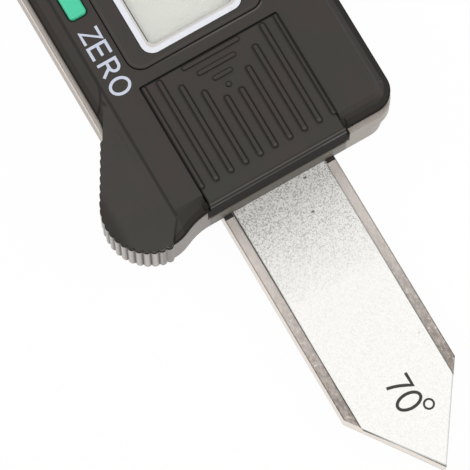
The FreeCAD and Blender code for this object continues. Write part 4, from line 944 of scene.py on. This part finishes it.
class GAUGE_OT_housing(bpy.types.Operator):
    """Moulded head, battery cover and display panel"""
    bl_idname = "gauge.housing"
    bl_label = "Housing"

    def execute(self, context):
        plastic = tuple(settings().colours.plastic)
        self.make_shell(moulded_plastic("housing_plastic", plastic, 0.15, 0.52, 0.14,
                                        housing_tones))
        dress("battery_cover", moulded_plastic("cover_plastic", plastic, 0.13, 0.5, 0.1,
                                               cover_tones))
        # The tips take the housing plastic darkened, a painted shade that matches the shaded bevel
        # around them.
        self.make_tips(moulded_plastic("tongue_plastic_shaded", shade(plastic, 0.75), 0.13))
        dress("display_bezel", moulded_plastic("panel_plastic", shade(plastic, 1.06), 0.12, 0.5,
                                               0.12, panel_tones))
        return {"FINISHED"}

    def make_shell(self, material):
        """The moulded shell, with its top face trimmed back to the crease of the thumb pad."""
        shape = merged_copy("front_housing")
        moved = [vert for vert in shape.verts
                 if abs(vert.co.z - HOUSING_TOP) < 1e-6 and vert.co.y < CREASE * MM - 1e-6
                 and vert.co.x > PAD_START * MM]
        if not moved:
            raise RuntimeError("the shell has no top edge beyond the crease")
        for vert in moved:
            vert.co.y = CREASE * MM
        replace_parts(add_piece("housing_shell", to_mesh(shape, "housing_shell"), "slider",
                              material), "front_housing")

    def make_tips(self, material):
        """Ends of the cover's side tongues, cut to the housing's bevel, which close its grooves."""
        shape = bmesh.new()
        for low, high, bevel in TONGUE_SIDES:
            reach = bevel + HOUSING_TOP / MM - TONGUE_GAP
            outline = [(TONGUE_BACK, TONGUE_LOW), (reach - TONGUE_LOW, TONGUE_LOW),
                       (reach - TONGUE_HIGH, TONGUE_HIGH), (TONGUE_BACK, TONGUE_HIGH)]
            add_prism(shape, outline, low, high)
        add_piece("tongue_tips", to_mesh(shape, "tongue_tips"), "battery_cover",
                  material)


class GAUGE_OT_display(bpy.types.Operator):
    """Window rim, clear window and blank display glass"""
    bl_idname = "gauge.display"
    bl_label = "Display"

    def execute(self, context):
        colours = settings().colours
        dress("display_trim", window_rim("rim_print", tuple(colours.trim), tuple(colours.display)))
        dress("display_lens", clear_window("window_clear", (1, 1, 1, 1)))
        dress("lcd_glass", display_glass("display_blank", tuple(colours.display)))
        return {"FINISHED"}


class GAUGE_OT_keys(bpy.types.Operator):
    """Three coloured keys"""
    bl_idname = "gauge.keys"
    bl_label = "Keys"

    def execute(self, context):
        colours = settings().colours
        for node, colour in (("zero_button", colours.zero_key), ("power_button", colours.power_key),
                             ("unit_button", colours.unit_key)):
            dress(node, key_plastic(node + "_plastic", tuple(colour)))
        return {"FINISHED"}


class GAUGE_OT_inside(bpy.types.Operator):
    """Circuit board, contacts and cell inside the head"""
    bl_idname = "gauge.inside"
    bl_label = "Inside"

    def execute(self, context):
        steel = tuple(settings().colours.steel)
        dress("circuit_board", solder_mask("board_green", (0.02, 0.16, 0.06, 1)))
        dress("sensor_chip", dull_resin("chip_resin", (0.016, 0.016, 0.017, 1), 0.5))
        dress("capacitors", dull_resin("capacitor_ceramic", (0.42, 0.28, 0.16, 1), 0.45))
        dress("zebra_connectors", striped_rubber("connector_rubber", (0.25, 0.25, 0.27, 1)))
        dress("contact_domes", ground_steel("dome_steel", steel, "X", 0.2))
        cell = ground_steel("cell_steel", shade(steel, 1.05), "Y", 0.2)
        dress("battery_cell", cell)
        contact = ground_steel("contact_steel", rgb(200, 190, 160), "X", 0.25)
        dress("battery_contact_minus", contact)
        dress("battery_contact_plus", contact)
        return {"FINISHED"}


class GAUGE_OT_words(bpy.types.Operator):
    """Printed words on the head and angles at the points of the beam"""
    bl_idname = "gauge.words"
    bl_label = "Words"

    def execute(self, context):
        colours, sizes = settings().colours, settings().sizes
        white = printed_ink("white_print", tuple(colours.print_white))
        dark = printed_ink("dark_print", tuple(colours.print_dark))
        stroke = sizes.stroke / MM
        ink = sizes.ink / MM
        cap = sizes.word_height / MM
        words = (("word_zero", ZERO_LETTERS, "zero_button"),
                 ("word_power", spell("ON/OFF", cap), "power_button"),
                 ("word_unit", spell("mm/in", cap), "unit_button"))
        for name, letters, node in words:
            mesh = word_mesh(name, letters, stroke, ink)
            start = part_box(node)[1][0] + sizes.word_gap
            add_piece(name, set_down(mesh, (start, sizes.word_line, HOUSING_TOP)), "slider",
                      white)
        self.print_angle(dark, stroke * ANGLE_STROKE, ink)
        return {"FINISHED"}

    def print_angle(self, material, stroke, ink):
        """The angle at the photographed point, then those on the cross plate."""
        mesh = word_mesh("angle_70", SEVENTY_LETTERS, stroke, ink)
        spot = (TIP - SEVENTY_BACK * MM, SEVENTY_FOOT * MM, LABEL_TOP)
        add_piece("angle_70", set_down(mesh, spot), "beam", material)
        for name, digits, spot, turn in MARKS:
            letters = [(digit, index * MARK_PITCH, MARK_WIDTH, 0.0, MARK_HEIGHT)
                       for index, digit in enumerate(digits)]
            mesh = word_mesh(name, letters + [MARK_RING], stroke, ink)
            add_piece(name, set_down(mesh, (spot[0] * MM, spot[1] * MM, BEAM_TOP),
                                     math.radians(turn)), "beam", material)
        ring = ("0", 0.0, DEGREE_SIZE, 0.0, DEGREE_SIZE)
        mesh = word_mesh("degree_70", [ring], stroke * RING_STROKE, ink)
        spot = (TIP - DEGREE_BACK * MM, DEGREE_FOOT * MM, LABEL_TOP)
        add_piece("degree_70", set_down(mesh, spot), "beam", material)


class GAUGE_PT_panel(bpy.types.Panel):
    """Lists the steps and what they can be changed by"""
    bl_idname = "GAUGE_PT_panel"
    bl_label = "Weld gauge"
    bl_space_type = "VIEW_3D"
    bl_region_type = "UI"
    bl_category = "Weld gauge"

    def draw(self, context):
        for step in STEPS:
            self.layout.operator(step.bl_idname)
        for group in (settings().colours, settings().sizes):
            for name in group.__annotations__:
                self.layout.prop(group, name)


STEPS = (GAUGE_OT_stage, GAUGE_OT_beam, GAUGE_OT_frame, GAUGE_OT_housing, GAUGE_OT_display,
         GAUGE_OT_keys, GAUGE_OT_inside, GAUGE_OT_words)
CLASSES = (GaugeColours, GaugeSizes, GaugeSettings) + STEPS + (GAUGE_PT_panel,)


def register():
    for item in CLASSES:
        bpy.utils.register_class(item)
    bpy.types.Scene.weld_gauge = bpy.props.PointerProperty(type=GaugeSettings)


def unregister():
    del bpy.types.Scene.weld_gauge
    for item in reversed(CLASSES):
        bpy.utils.unregister_class(item)


def main():
    register()
    for step in STEPS:
        group, name = step.bl_idname.split(".")
        getattr(getattr(bpy.ops, group), name)()


if __name__ == "__main__":
    main()
